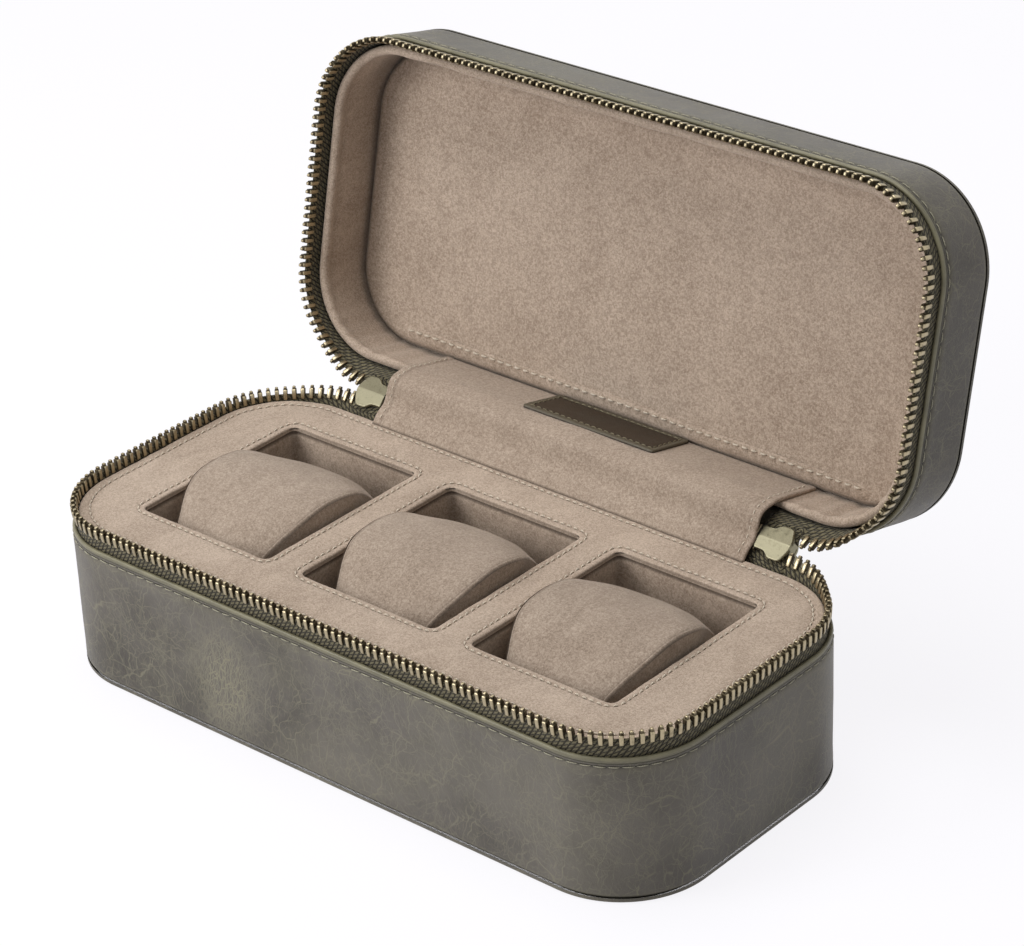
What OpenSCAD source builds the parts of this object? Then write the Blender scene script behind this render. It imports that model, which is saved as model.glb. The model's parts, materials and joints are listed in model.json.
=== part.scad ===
// Zip-round travel case for three watches: a deep base with three lined wells, a shallow lid that
// swings back on a leather spine, and a brass zip with two sliders. Millimetres, +Z up, X along the
// row of wells, Y towards the hinge. The origin is the middle of the base's underside.

/* [Case] */
// Length of the case along the row of wells
case_w = 250; // [244:1:290]
// Depth of the case from front to hinge side
case_d = 115; // [110:1:130]
// Radius of the case's upright corners, at the leather
corner_r = 31; // [26:0.5:36]
// Height of the base from its underside to the top of its edge bead
base_h = 50.2; // [46:0.2:60]
// Height of the lid from its outer face to the top of its edge bead
lid_h = 25.2; // [23:0.2:34]
// Thickness of the leather
leather_t = 1.4; // [1.2:0.1:1.8]
// Thickness of the stiffening board behind the leather
board_t = 1.6; // [1.2:0.1:2]
// Radius of the bead along the leather's edge
bead_r = 0.7; // [0.5:0.05:0.7]

/* [Hinge] */
// Angle between the closed and the open lid
open_angle = 103; // [85:1:110]
// How far the hinge line lies behind the case's back face
hinge_back = 5.2; // [4.6:0.1:6]
// Length of the leather spine along the hinge
spine_w = 154; // [130:1:158]
// Thickness of the leather spine
spine_t = 1.3; // [1:0.1:1.6]
// How far the flap's ends stay short of the spine's
flap_short = 0.3; // [0.2:0.1:6]
// Thickness of the suede flap
flap_t = 1; // [0.8:0.1:1.4]

/* [Zip] */
// Free band between the two leather edges when the case is shut
zip_gap = 17; // [16:0.2:18]
// Distance from one tooth to the next along one row
tooth_pitch = 2.85; // [2.7:0.05:3.4]
// Width of a tooth along its row
tooth_w = 1.2; // [0.9:0.05:1.25]
// Thickness of a tooth through the tape
tooth_t = 2.2; // [1.8:0.1:2.4]
// Length of a tooth from its legs to the tip of its head
tooth_len = 5.6; // [5:0.1:6]
// How far a tooth's head reaches past the middle of the closed zip
tooth_reach = 0.5; // [0.3:0.1:0.8]
// Thickness of the zip tape
tape_t = 0.8; // [0.6:0.05:0.9]
// Width of tape that is sewn in behind the leather
tape_sewn = 6; // [4:0.5:8]

/* [Slider] */
// Length of a slider along the zip
slider_len = 12.6; // [11:0.1:14]
// Width of a slider across the zip
slider_w = 11.2; // [10.4:0.1:11.8]
// Width of a slider's tail
slider_tail_w = 8.6; // [8:0.1:9.4]
// Thickness of each of a slider's two plates
plate_t = 1.1; // [0.9:0.05:1.4]
// Free space round a tooth in the slider's channel
channel_gap = 0.3; // [0.2:0.05:0.4]
// Length of the pull tab from its bar to its end
pull_len = 24; // [16:0.5:30]
// Width of the pull tab's round end
pull_w = 7.4; // [6.4:0.1:9]
// Thickness of the pull tab
pull_t = 1.3; // [1:0.1:1.4]

/* [Wells] */
// Length of a well along the case
well_w = 55.4; // [50:0.2:58]
// Depth of a well from front to back
well_d = 70.4; // [66:0.2:76]
// Distance of the wells' middle behind the case's middle
well_y = 1.2; // [-1:0.1:2]
// Distance from the case's end to the first well
well_margin = 27.3; // [24:0.1:32]
// Thickness of a well's suede lining and its card
well_lining_t = 1.2; // [0.8:0.1:1.6]
// Thickness of the suede floor under the wells
floor_t = 1.6; // [1.2:0.1:2.5]
// Thickness of the padded suede panel around the wells
panel_t = 3; // [2.4:0.1:4]
// How far the panel's face stands above the leather's edge
panel_rise = 4; // [3:0.1:5]

/* [Cushions] */
// Depth of a cushion from front to back
cushion_d = 60; // [54:0.5:62]
// How far a cushion's crown stands above the panel
cushion_crown = 4.2; // [2:0.1:6]
// How far a cushion's front and back top edges lie below its crown
cushion_drop = 12.5; // [9:0.5:16]
// Free space between a cushion's end and the well's side
cushion_end_gap = 0.6; // [0.4:0.1:2]
// Free space between a cushion's front and the well's front
cushion_front_gap = 0.6; // [0.4:0.1:2]

/* [Lid lining] */
// Thickness of the padded suede on the lid's side walls
lid_lining_t = 2.3; // [1.8:0.1:3]
// Radius of the rolled edge of that lining
roll_r = 1.6; // [1.2:0.1:2]
// Thickness of the padded panel in the lid
lid_panel_t = 3.6; // [3.2:0.1:5]
// Width of the sewn strip along the panel's hinge side
strip_w = 4.4; // [3:0.1:6]
// Thickness of the sewn strip
strip_t = 0.8; // [0.5:0.1:1.2]
// Length of the leather patch on the flap
patch_w = 54; // [30:0.5:70]
// Height of the leather patch on the flap
patch_h = 15.5; // [10:0.5:16.5]
// Thickness of the leather patch
patch_t = 0.9; // [0.6:0.1:1.4]

/* [Hidden] */

leather = "#6f6c64";
edge_leather = "#8a855f";
suede = "#b0a08e";
board = "#8c7a5e";
foam = "#d8d2c0";
brass = "#b79f62";
tape = "#565240";
patch_leather = "#3a2c22";

fine = 128;
small = 32;
// Gap that is left between pieces which move, or are soft
seat_gap = 0.3;
// Gap between pieces which only lie against each other
touch_gap = 0.1;

side_x = case_w / 2 - corner_r;
side_y = case_d / 2 - corner_r;
hinge_y = case_d / 2 + hinge_back;
hinge_z = base_h + zip_gap / 2;
lid_top_z = hinge_z + zip_gap / 2 + lid_h;

tape_inset = leather_t + touch_gap + tape_t / 2;
path_r = corner_r - tape_inset;
corner_len = path_r * PI / 2;
tip_h = zip_gap / 2 + tooth_reach;
lean_max = atan(hinge_back / (zip_gap / 2));
board_inset = leather_t;
lining_inset = leather_t + board_t;
core_inset = max(lining_inset, tape_inset + tape_t / 2 + touch_gap);
panel_inset = max(core_inset, tape_inset + tooth_t / 2 + touch_gap);
panel_z = base_h + panel_rise;
floor_z = leather_t + board_t;
well_z = floor_z + floor_t;
// The wells keep the size of one watch, and the bars between them take up the rest of the length
well_pitch = (case_w - 2 * well_margin - well_w) / 2;

slider_gap = tooth_t + 2 * channel_gap;
slider_x = spine_w / 2 + seat_gap + slider_len / 2 + 1;
nose_x = slider_x + slider_len / 2;
slider_reach = norm([slider_w / 2, slider_gap / 2 + plate_t]) + 2 * seat_gap;

// Point and outward angle at a distance along the tape, from the middle of the front round one end
function half_path(s) =
  let (a = side_x, b = a + corner_len, c = b + 2 * side_y, d = c + corner_len)
  s < a ? [s, -(case_d / 2 - tape_inset), -90] :
  s < b ? arc_point(side_x, -side_y, -90 + (s - a) / corner_len * 90) :
  s < c ? [case_w / 2 - tape_inset, -side_y + s - b, 0] :
  s < d ? arc_point(side_x, side_y, (s - c) / corner_len * 90) :
  [side_x - (s - d), case_d / 2 - tape_inset, 90];

function arc_point(x, y, angle) = [x + path_r * cos(angle), y + path_r * sin(angle), angle];

function zip_path(s) =
  let (p = half_path(abs(s)))
  s >= 0 ? p : [-p[0], p[1], 180 - p[2]];

// The tape stands upright at the front and leans back towards the hinge line round the rear corners
lean_from = side_x + corner_len + side_y;
lean_to = side_x + 2 * corner_len + 2 * side_y;
function ramp(t) = let (u = min(1, max(0, t))) u * u * (3 - 2 * u);
function lean(s) = lean_max * ramp((abs(s) - lean_from) / (lean_to - lean_from));

// Last place on the path that a tooth may take, just short of the slider's nose
row_end = lean_to + side_x - (nose_x + seat_gap + tooth_w / 2);
tape_end = lean_to + side_x - (spine_w / 2 + touch_gap);

// Plan of the case, drawn in by an inset from the outer leather
module plan(inset) {
  square([2 * side_x, case_d - 2 * inset], center = true);
  square([case_w - 2 * inset, 2 * side_y], center = true);
  for (x = [-side_x, side_x], y = [-side_y, side_y])
    translate([x, y]) circle(corner_r - inset, $fn = fine);
}

module plate(inset, z, t) {
  translate([0, 0, z]) linear_extrude(t) plan(inset);
}

module ring(inset, t, z, h) {
  translate([0, 0, z]) linear_extrude(h) difference() {
    plan(inset);
    plan(inset + t);
  }
}

// Half the case's width or depth on side k, counted round from the right-hand end
function half_span(k) = k % 2 == 0 ? case_w / 2 : case_d / 2;

// One straight run of a profile along side k. The profile's x runs inwards and its y runs up.
module run(k, from, to) {
  rotate([0, 0, 90 * k]) translate([half_span(k), from, 0])
    rotate([90, 0, 180]) linear_extrude(to - from) children();
}

// A profile carried all the way round, with an optional gap in the hinge side
module around(gap = 0) {
  for (k = [0 : 3]) {
    straight = half_span(k + 1) - corner_r;
    if (k == 1 && gap > 0) {
      run(k, -straight, -gap / 2) children();
      run(k, gap / 2, straight) children();
    } else {
      run(k, -straight, straight) children();
    }
    rotate([0, 0, 90 * k])
      translate([half_span(k) - corner_r, straight, 0])
        rotate_extrude(angle = 90, $fn = fine)
          translate([corner_r, 0]) mirror([1, 0]) children();
  }
}

// Puts a tray that was drawn with its outer face down on the hinge, swung open as the lid
module as_lid() {
  translate([0, hinge_y, hinge_z]) rotate([-open_angle, 0, 0]) translate([0, -hinge_y, -hinge_z])
    translate([0, 0, lid_top_z]) mirror([0, 0, 1]) children();
}

// Puts a piece that was drawn for the shut case half as far open, where the sliders hold the zip
module half_open() {
  translate([0, hinge_y, hinge_z]) rotate([-open_angle / 2, 0, 0]) translate([0, -hinge_y, -hinge_z])
    children();
}

// The parts that the base and the lid share, each drawn as a tray of height h with its mouth up
module tray_bottom_leather() {
  plate(0, 0, leather_t);
}

module tray_side_leather(h) {
  ring(0, leather_t, leather_t, h - bead_r - leather_t);
}

module tray_edge_bead(h) {
  around(spine_w) intersection() {
    translate([bead_r, h - bead_r]) circle(bead_r, $fn = small);
    translate([0, h - bead_r]) square(2 * bead_r);
  }
}

module tray_bottom_board() {
  plate(board_inset, leather_t, board_t);
}

module tray_side_board(h) {
  bottom = leather_t + board_t;
  ring(board_inset, board_t, bottom, h - tape_sewn - touch_gap - bottom);
}

// Metal tooth with its tip at the origin: round head, narrow neck and two legs that grip the tape
module tooth() {
  head_r = tooth_t * 0.46;
  neck_w = tooth_t * 0.6;
  leg_len = tooth_len * 0.5;
  grip_len = tooth_len * 0.42;
  rotate([90, 0, 0]) linear_extrude(tooth_w, center = true) difference() {
    union() {
      translate([0, -head_r]) circle(head_r, $fn = small);
      translate([-neck_w / 2, -tooth_len + leg_len]) square([neck_w, tooth_len - leg_len - head_r]);
      translate([-tooth_t / 2, -tooth_len]) square([tooth_t, leg_len]);
    }
    translate([-tape_t / 2, -tooth_len - 1]) square([tape_t, grip_len + 1]);
  }
}

// One row of teeth along the tape of a tray of height h. The pitch is stretched a little so that
// the base's last tooth meets the slider's nose. The lid's row sits half a pitch along.
tooth_count = round(row_end / tooth_pitch);
module tooth_row(h, shift) {
  last = shift == 0 ? tooth_count : tooth_count - 1;
  for (side = [-1, 1], i = [(shift == 0 && side < 0 ? 1 : 0) : last]) {
    s = side * (i + shift) * row_end / tooth_count;
    p = zip_path(s);
    translate([p[0], p[1], h]) rotate([0, 0, p[2]]) rotate([0, lean(s), 0])
      translate([0, 0, tip_h / cos(lean(s))]) tooth();
  }
}

// Woven tape: sewn upright behind the leather, then leaning by the same angle as its teeth
corner_steps = 8;
half_stations = concat(
  [0],
  [for (i = [0 : corner_steps]) side_x + corner_len * i / corner_steps],
  [lean_from],
  [for (i = [0 : corner_steps]) side_x + corner_len + 2 * side_y + corner_len * i / corner_steps],
  [row_end + tooth_w / 2, row_end + tooth_w, tape_end]);
stations = concat(
  [for (i = [len(half_stations) - 1 : -1 : 1]) -half_stations[i]], half_stations);

tape_grip = tip_h - tooth_len * 0.6;
tape_stop = norm([hinge_back + tape_inset, zip_gap / 2]) - slider_reach - tape_t;
function tape_height(s) = abs(s) <= row_end + tooth_w / 2 ? tape_grip / cos(lean(s)) : tape_stop;

function tape_section(s, h) =
  let (p = zip_path(s), out = [cos(p[2]), sin(p[2])], l = lean(s), top = tape_height(s))
  [for (c = [[-1, -tape_sewn, 0], [1, -tape_sewn, 0], [1, 0, 0],
             [1, 0, top], [-1, 0, top], [-1, 0, 0]])
    let (o = c[0] * tape_t / 2 + c[2] * sin(l))
    [p[0] + out[0] * o, p[1] + out[1] * o, h + c[1] + c[2] * cos(l)]];

// Skins a closed solid over sections that all have the same number of points
module loft(sections) {
  n = len(sections[0]);
  m = len(sections);
  sides = [for (i = [0 : m - 2], j = [0 : n - 1])
    let (a = i * n + j, b = i * n + (j + 1) % n)
    each [[a, b, b + n], [a, b + n, a + n]]];
  first = [for (j = [1 : n - 2]) [0, j + 1, j]];
  last = [for (j = [1 : n - 2]) [(m - 1) * n, (m - 1) * n + j, (m - 1) * n + j + 1]];
  points = [for (section = sections) each section];
  polyhedron(points, concat(sides, first, last));
}

module tape_band(h) {
  loft([for (s = stations) tape_section(s, h)]);
}

module base_bottom_leather() {
  color(leather) tray_bottom_leather();
}

module base_side_leather() {
  color(leather) tray_side_leather(base_h);
}

module base_edge_bead() {
  color(edge_leather) tray_edge_bead(base_h);
}

module base_bottom_board() {
  color(board) tray_bottom_board();
}

module base_side_board() {
  color(board) tray_side_board(base_h);
}

module well_holes(grow, z, h) {
  for (i = [-1 : 1])
    translate([i * well_pitch, well_y, z + h / 2])
      cube([well_w + 2 * grow, well_d + 2 * grow, h], center = true);
}

// Foam block that holds the three wells
module base_insert_core() {
  color(foam) difference() {
    plate(core_inset, well_z, panel_z - panel_t - well_z);
    well_holes(well_lining_t, well_z - 1, panel_z);
  }
}

module base_floor_pad() {
  color(suede) plate(core_inset, floor_z, floor_t);
}

// Padded panel with a rounded outer edge, open over the wells
module base_top_panel() {
  round_r = panel_t * 2 / 3;
  color(suede) difference() {
    union() {
      plate(panel_inset, panel_z - panel_t, panel_t - round_r);
      plate(panel_inset + round_r, panel_z - panel_t, panel_t);
      around() translate([panel_inset + round_r, panel_z - round_r]) intersection() {
        circle(round_r, $fn = small);
        translate([-round_r, 0]) square(round_r);
      }
    }
    well_holes(0, panel_z - panel_t - 1, panel_t + 2);
  }
}

module well_lining(i) {
  top = panel_z - panel_t;
  color(suede) difference() {
    translate([i * well_pitch, well_y, (well_z + top) / 2])
      cube([well_w + 2 * well_lining_t, well_d + 2 * well_lining_t, top - well_z], center = true);
    translate([i * well_pitch, well_y, well_z + top / 2])
      cube([well_w, well_d, top + 2], center = true);
  }
}

module well_lining_left() {
  well_lining(-1);
}

module well_lining_middle() {
  well_lining(0);
}

module well_lining_right() {
  well_lining(1);
}

module base_zip_tape() {
  color(tape) tape_band(base_h);
}

module base_zip_teeth() {
  color(brass) tooth_row(base_h, 0);
}

// Outline of a cushion in Y and Z: upright sides, softened corners and an arched top
cushion_h = panel_z + cushion_crown - well_z - seat_gap;
cushion_front = well_y - well_d / 2 + cushion_front_gap;
cushion_y = cushion_front + cushion_d / 2;
cushion_z = well_z + seat_gap;
foot_r = 5;
shoulder_r = 6;
arch_r = (pow(cushion_d / 2, 2) + pow(cushion_drop, 2)) / (2 * cushion_drop);
shoulder_a = asin((cushion_d / 2 - shoulder_r) / (arch_r - shoulder_r));
shoulder_z = cushion_h - arch_r + (arch_r - shoulder_r) * cos(shoulder_a);
half_outline = concat(
  [[0, 0], [cushion_d / 4, 0.2]],
  [for (a = [0 : 30 : 90])
    [cushion_d / 2 - foot_r + foot_r * sin(a), foot_r - foot_r * cos(a)]],
  [[cushion_d / 2 + 0.2, cushion_h / 3], [cushion_d / 2, shoulder_z * 0.8]],
  [for (i = [0 : 3]) let (a = 90 - (90 - shoulder_a) * i / 3)
    [cushion_d / 2 - shoulder_r + shoulder_r * sin(a), shoulder_z + shoulder_r * cos(a)]],
  [for (i = [1 : 5]) let (a = shoulder_a * (1 - i / 5.5))
    [arch_r * sin(a), cushion_h - arch_r + arch_r * cos(a)]]);
cushion_outline = concat(half_outline, [[0, cushion_h]],
  [for (i = [len(half_outline) - 1 : -1 : 1]) [-half_outline[i][0], half_outline[i][1]]]);

// Stations along a half cushion: distance from the end, and how far the outline is drawn in there.
// The end cap bulges, its seam lies in a shallow groove, and the middle is full.
cushion_stations = [[0, 22], [0.25, 14], [0.8, 7], [1.7, 2.6], [2.7, 1.1], [3.4, 1.5], [4.2, 0.7],
  [8, 0.3], [16, 0.1]];

function cushion_section(x, draw) =
  [for (p = cushion_outline)
    let (y = p[0] * (1 - draw / (cushion_d / 2)),
         z = cushion_h / 2 + (p[1] - cushion_h / 2) * (1 - draw / (cushion_h / 2)))
    [x, cushion_y + y, cushion_z + z]];

module cushion(i) {
  half = well_w / 2 - cushion_end_gap;
  left = [for (st = cushion_stations) cushion_section(-half + st[0], st[1])];
  right = [for (k = [len(cushion_stations) - 1 : -1 : 0])
    cushion_section(half - cushion_stations[k][0], cushion_stations[k][1])];
  color(suede) translate([i * well_pitch, 0, 0])
    loft(concat(left, [cushion_section(0, 0)], right));
}

module cushion_left() {
  cushion(-1);
}

module cushion_middle() {
  cushion(0);
}

module cushion_right() {
  cushion(1);
}

module lid_top_leather() {
  color(leather) as_lid() tray_bottom_leather();
}

module lid_side_leather() {
  color(leather) as_lid() tray_side_leather(lid_h);
}

module lid_edge_bead() {
  color(edge_leather) as_lid() tray_edge_bead(lid_h);
}

module lid_top_board() {
  color(board) as_lid() tray_bottom_board();
}

module lid_side_board() {
  color(board) as_lid() tray_side_board(lid_h);
}

lid_floor = leather_t + board_t;
lid_panel_z = lid_floor + lid_panel_t;
panel_round = 0.72;

// Padded side lining with a rolled edge just inside the zip
module lid_side_lining() {
  color(suede) as_lid() {
    ring(core_inset, lid_lining_t, lid_floor, lid_h - lid_floor);
    around(spine_w) translate([panel_inset + roll_r, lid_h]) intersection() {
      circle(roll_r, $fn = small);
      translate([-roll_r, 0]) square(2 * roll_r);
    }
  }
}

// Padded panel on the inside of the lid's outer face, with a rounded edge
module lid_padded_panel() {
  inset = core_inset + lid_lining_t;
  round_r = lid_panel_t * panel_round;
  color(suede) as_lid() {
    plate(inset, lid_floor, lid_panel_t - round_r);
    plate(inset + round_r, lid_floor, lid_panel_t);
    around() translate([inset + round_r, lid_panel_z - round_r]) intersection() {
      circle(round_r, $fn = small);
      translate([-round_r, 0]) square(round_r);
    }
  }
}

// Strip sewn along the panel's hinge side, over the end of the flap
module lid_seam_strip() {
  inset = core_inset + lid_lining_t + lid_panel_t * panel_round;
  color(suede) as_lid()
    translate([-side_x, case_d / 2 - inset - strip_w, lid_panel_z]) cube([2 * side_x, strip_w, strip_t]);
}

module lid_zip_tape() {
  color(tape) as_lid() tape_band(lid_h);
}

module lid_zip_teeth() {
  color(brass) as_lid() tooth_row(lid_h, 0.5);
}

// Where a point of the lid's tray lies in Y and Z once the lid stands open
function opened(y, z) =
  let (dy = y - hinge_y, dz = lid_top_z - z - hinge_z)
  [hinge_y + dy * cos(open_angle) + dz * sin(open_angle),
   hinge_z - dy * sin(open_angle) + dz * cos(open_angle)];

// A band of even thickness along a curve in Y and Z, carried along X
function curve(a, b, c, d, t) =
  pow(1 - t, 3) * a + 3 * pow(1 - t, 2) * t * b + 3 * (1 - t) * t * t * c + pow(t, 3) * d;
function unit(v) = v / norm(v);
function side_of(p, q) = let (d = unit(q - p)) [-d[1], d[0]];

module band(points, t, w) {
  n = len(points);
  normals = [for (i = [0 : n - 1]) side_of(points[max(0, i - 1)], points[min(n - 1, i + 1)])];
  upper = [for (i = [0 : n - 1]) points[i] + normals[i] * t / 2];
  lower = [for (i = [n - 1 : -1 : 0]) points[i] - normals[i] * t / 2];
  rotate([90, 0, 90]) linear_extrude(w, center = true) polygon(concat(upper, lower));
}

// Leather spine outside the hinge. It leaves the base's back edge and the lid's straight, and bows
// out a little between them.
spine_root = 0.4;
spine_turn = 1.6;
spine_bow = 0.8;
spine_ease = 4;
module hinge_spine() {
  y = case_d / 2 - leather_t / 2;
  edge = touch_gap - bead_r;
  from = [y, base_h + edge];
  to = opened(y, lid_h + edge);
  base_root = from + [0, spine_root];
  lid_root = opened(y, lid_h + edge + spine_root);
  base_turn = base_root + [0, spine_turn];
  lid_turn = opened(y, lid_h + edge + spine_root + spine_turn);
  along = unit(to - from) * spine_ease;
  middle = (from + to) / 2 + [spine_bow, -spine_bow];
  points = concat(
    [from],
    [for (t = [0 : 0.2 : 0.8]) curve(base_root, base_turn, middle - along, middle, t)],
    [for (t = [0 : 0.2 : 1]) curve(middle, middle + along, lid_turn, lid_root, t)],
    [to]);
  color(leather) band(points, spine_t, spine_w);
}

// Suede flap inside the hinge, from the base's panel up and over to the lid's panel
flap_inset = core_inset + lid_lining_t + touch_gap + flap_t / 2;
flap_top = lid_panel_z + seat_gap;
flap_lap = 4;
flap_stand = 4.4;
flap_ease = 5;
flap_rise = 1;
module hinge_flap() {
  inner = [-sin(open_angle / 2), cos(open_angle / 2)];
  from = [case_d / 2 - panel_inset - flap_lap, panel_z + touch_gap + flap_t / 2];
  over = [hinge_y, hinge_z] + inner * flap_stand;
  down = opened(case_d / 2 - flap_inset, lid_h + flap_rise);
  to = opened(case_d / 2 - flap_inset, flap_top);
  tangent = unit(down - from) * flap_ease;
  start = from + [flap_ease / 2, flap_ease / 16];
  points = concat(
    [for (t = [0 : 0.2 : 0.8]) curve(from, start, over - tangent, over, t)],
    [for (t = [0 : 0.2 : 0.8])
      curve(over, over + tangent * 1.2, down + unit(down - to) * flap_ease, down, t)],
    [down, to]);
  color(suede) band(points, flap_t, spine_w - 2 * flap_short);
}

patch_rise = 1.6;
patch_off = 1.5;
module flap_leather_patch() {
  y = case_d / 2 - flap_inset - flap_t / 2 - touch_gap - patch_t;
  z = flap_top + patch_rise;
  color(patch_leather) as_lid()
    translate([-patch_w / 2 - patch_off, y, z]) cube([patch_w, patch_t, patch_h]);
}

// Outline of a slider's plate: wide chamfered nose, notched shoulders and a narrower tail
tail_len = 2.2;
shoulder_len = 4.4;
chamfer_len = 2.6;
chamfer_w = 3;
notch_at = 2.6;
notch_out = 1;
notch_r = 1.5;
module slider_outline() {
  l = slider_len / 2;
  w = slider_w / 2;
  tail = slider_tail_w / 2;
  upper = [[l, w - chamfer_w], [l - chamfer_len, w], [shoulder_len - l, w], [tail_len - l, tail], [-l, tail]];
  difference() {
    polygon(concat(upper, [for (i = [len(upper) - 1 : -1 : 0]) [upper[i][0], -upper[i][1]]]));
    for (side = [-1, 1])
      translate([notch_at - l, side * (tail + notch_out)]) circle(notch_r, $fn = small);
  }
}

lip_w = 0.8;
wedge_len = 4.2;
wedge_w = 4.4;
wedge_back = 0.2;
bail_w = 2.2;
bail_r = 4;
bail_t = 1;
bail_sink = 1.2;
bar_r = 0.6;
bar_y = slider_gap / 2 + plate_t + bar_r + seat_gap;
// How far two pieces of one casting run into each other
weld = 0.01;

// Slider with its channel along X, drawn round its own middle, nose towards +X
module slider_shape() {
  l = slider_len / 2;
  tail = slider_tail_w / 2;
  face = slider_gap / 2;
  for (side = [-1, 1]) {
    translate([0, side * (face + plate_t / 2), 0]) rotate([90, 0, 0])
      linear_extrude(plate_t, center = true) slider_outline();
    lip = (slider_gap - tape_t) / 2 - channel_gap;
    for (edge = [-1, 1])
      translate([tail_len / 2 - l, side * (face - lip / 2), edge * (tail - lip_w / 2)])
        cube([tail_len, lip + 2 * weld, lip_w], center = true);
  }
  rotate([90, 0, 0]) linear_extrude(slider_gap + 2 * weld, center = true) translate([l - wedge_back, 0])
    polygon([[-wedge_len, 0], [0, -wedge_w / 2], [0, wedge_w / 2]]);
  bail();
}

// Arch on the outer plate that holds the pull
module bail() {
  face = slider_gap / 2 + plate_t;
  intersection() {
    translate([0, face - bail_sink, 0]) difference() {
      cylinder(bail_w, r = bail_r, center = true, $fn = 64);
      cylinder(2 * bail_w, r = bail_r - bail_t, center = true, $fn = 64);
    }
    translate([-bail_r, face - bail_t / 8, -bail_w / 2]) cube([2 * bail_r, bail_r, bail_w]);
  }
}

// Pull tab, hanging straight out from the plate: bar, window for the bail, neck and round end
window_len = 5.4;
cheek_w = 1.2;
neck_in = 0.9;
head_over = 2;
module pull_shape() {
  window_w = bail_w + 4 * seat_gap;
  head_w = window_w + 2 * cheek_w;
  end_r = pull_w / 2;
  translate([0, bar_y, 0]) {
    cylinder(head_w, r = bar_r, center = true, $fn = small);
    rotate([0, 90, 0]) linear_extrude(pull_t, center = true) difference() {
      union() {
        translate([-head_w / 2, 0]) square([head_w, window_len + head_over]);
        translate([neck_in - head_w / 2, window_len])
          square([head_w - 2 * neck_in, pull_len - end_r - window_len]);
        translate([0, pull_len - end_r]) circle(end_r, $fn = 64);
      }
      translate([-window_w / 2, -1]) square([window_w, window_len + 1]);
      translate([0, pull_len - end_r]) circle(end_r * 0.45, $fn = 48);
    }
  }
}

module at_slider(side) {
  half_open() translate([side * slider_x, hinge_y, hinge_z]) mirror([side < 0 ? 1 : 0, 0, 0]) children();
}

module slider_left() {
  color(brass) at_slider(-1) slider_shape();
}

module slider_right() {
  color(brass) at_slider(1) slider_shape();
}

module pull_left() {
  color(brass) at_slider(-1) pull_shape();
}

module pull_right() {
  color(brass) at_slider(1) pull_shape();
}

// The last closed teeth behind a slider's tail, on a scrap of tape, with the stop that ends the zip
pairs = 2;
stop_len = 2;
stop_w = tooth_len * 1.4;
module zip_end() {
  l = slider_len / 2;
  width = slider_reach - seat_gap;
  first = -l - tooth_w / 2 - seat_gap;
  for (i = [0 : pairs - 1]) {
    translate([first - i * tooth_pitch, 0, tooth_reach]) rotate([0, 0, 90]) tooth();
    translate([first - (i + 0.5) * tooth_pitch, 0, -tooth_reach])
      rotate([180, 0, 90]) tooth();
  }
  stop_x = first - pairs * tooth_pitch - tooth_w / 2;
  translate([stop_x, 0, 0]) cube([stop_len, tooth_t, stop_w], center = true);
  for (side = [-1, 1])
    translate([stop_x - stop_len / 2, -tape_t / 2, side > 0 ? tape_edge : -width])
      cube([first - stop_x + stop_len / 2 + tooth_w / 2, tape_t, width - tape_edge]);
}
tape_edge = tooth_len * 0.58 - tooth_reach;

module zip_end_left() {
  color(brass) at_slider(-1) zip_end();
}

module zip_end_right() {
  color(brass) at_slider(1) zip_end();
}

base_bottom_leather();
base_side_leather();
base_edge_bead();
base_bottom_board();
base_side_board();
base_insert_core();
base_floor_pad();
base_top_panel();
well_lining_left();
well_lining_middle();
well_lining_right();
base_zip_tape();
base_zip_teeth();
cushion_left();
cushion_middle();
cushion_right();
lid_top_leather();
lid_side_leather();
lid_edge_bead();
lid_top_board();
lid_side_board();
lid_side_lining();
lid_padded_panel();
lid_seam_strip();
lid_zip_tape();
lid_zip_teeth();
hinge_spine();
hinge_flap();
flap_leather_patch();
slider_left();
slider_right();
pull_left();
pull_right();
zip_end_left();
zip_end_right();
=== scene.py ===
"""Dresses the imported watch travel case: leather, suede, zip, thread and studio. Laid out as an add-on."""
import json
import math
from collections import namedtuple
from functools import reduce

import bmesh
import bpy
import numpy as np
from bpy.props import FloatProperty, FloatVectorProperty, PointerProperty
from mathutils import Matrix, Vector
from mathutils.geometry import delaunay_2d_cdt
from mathutils.kdtree import KDTree


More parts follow.
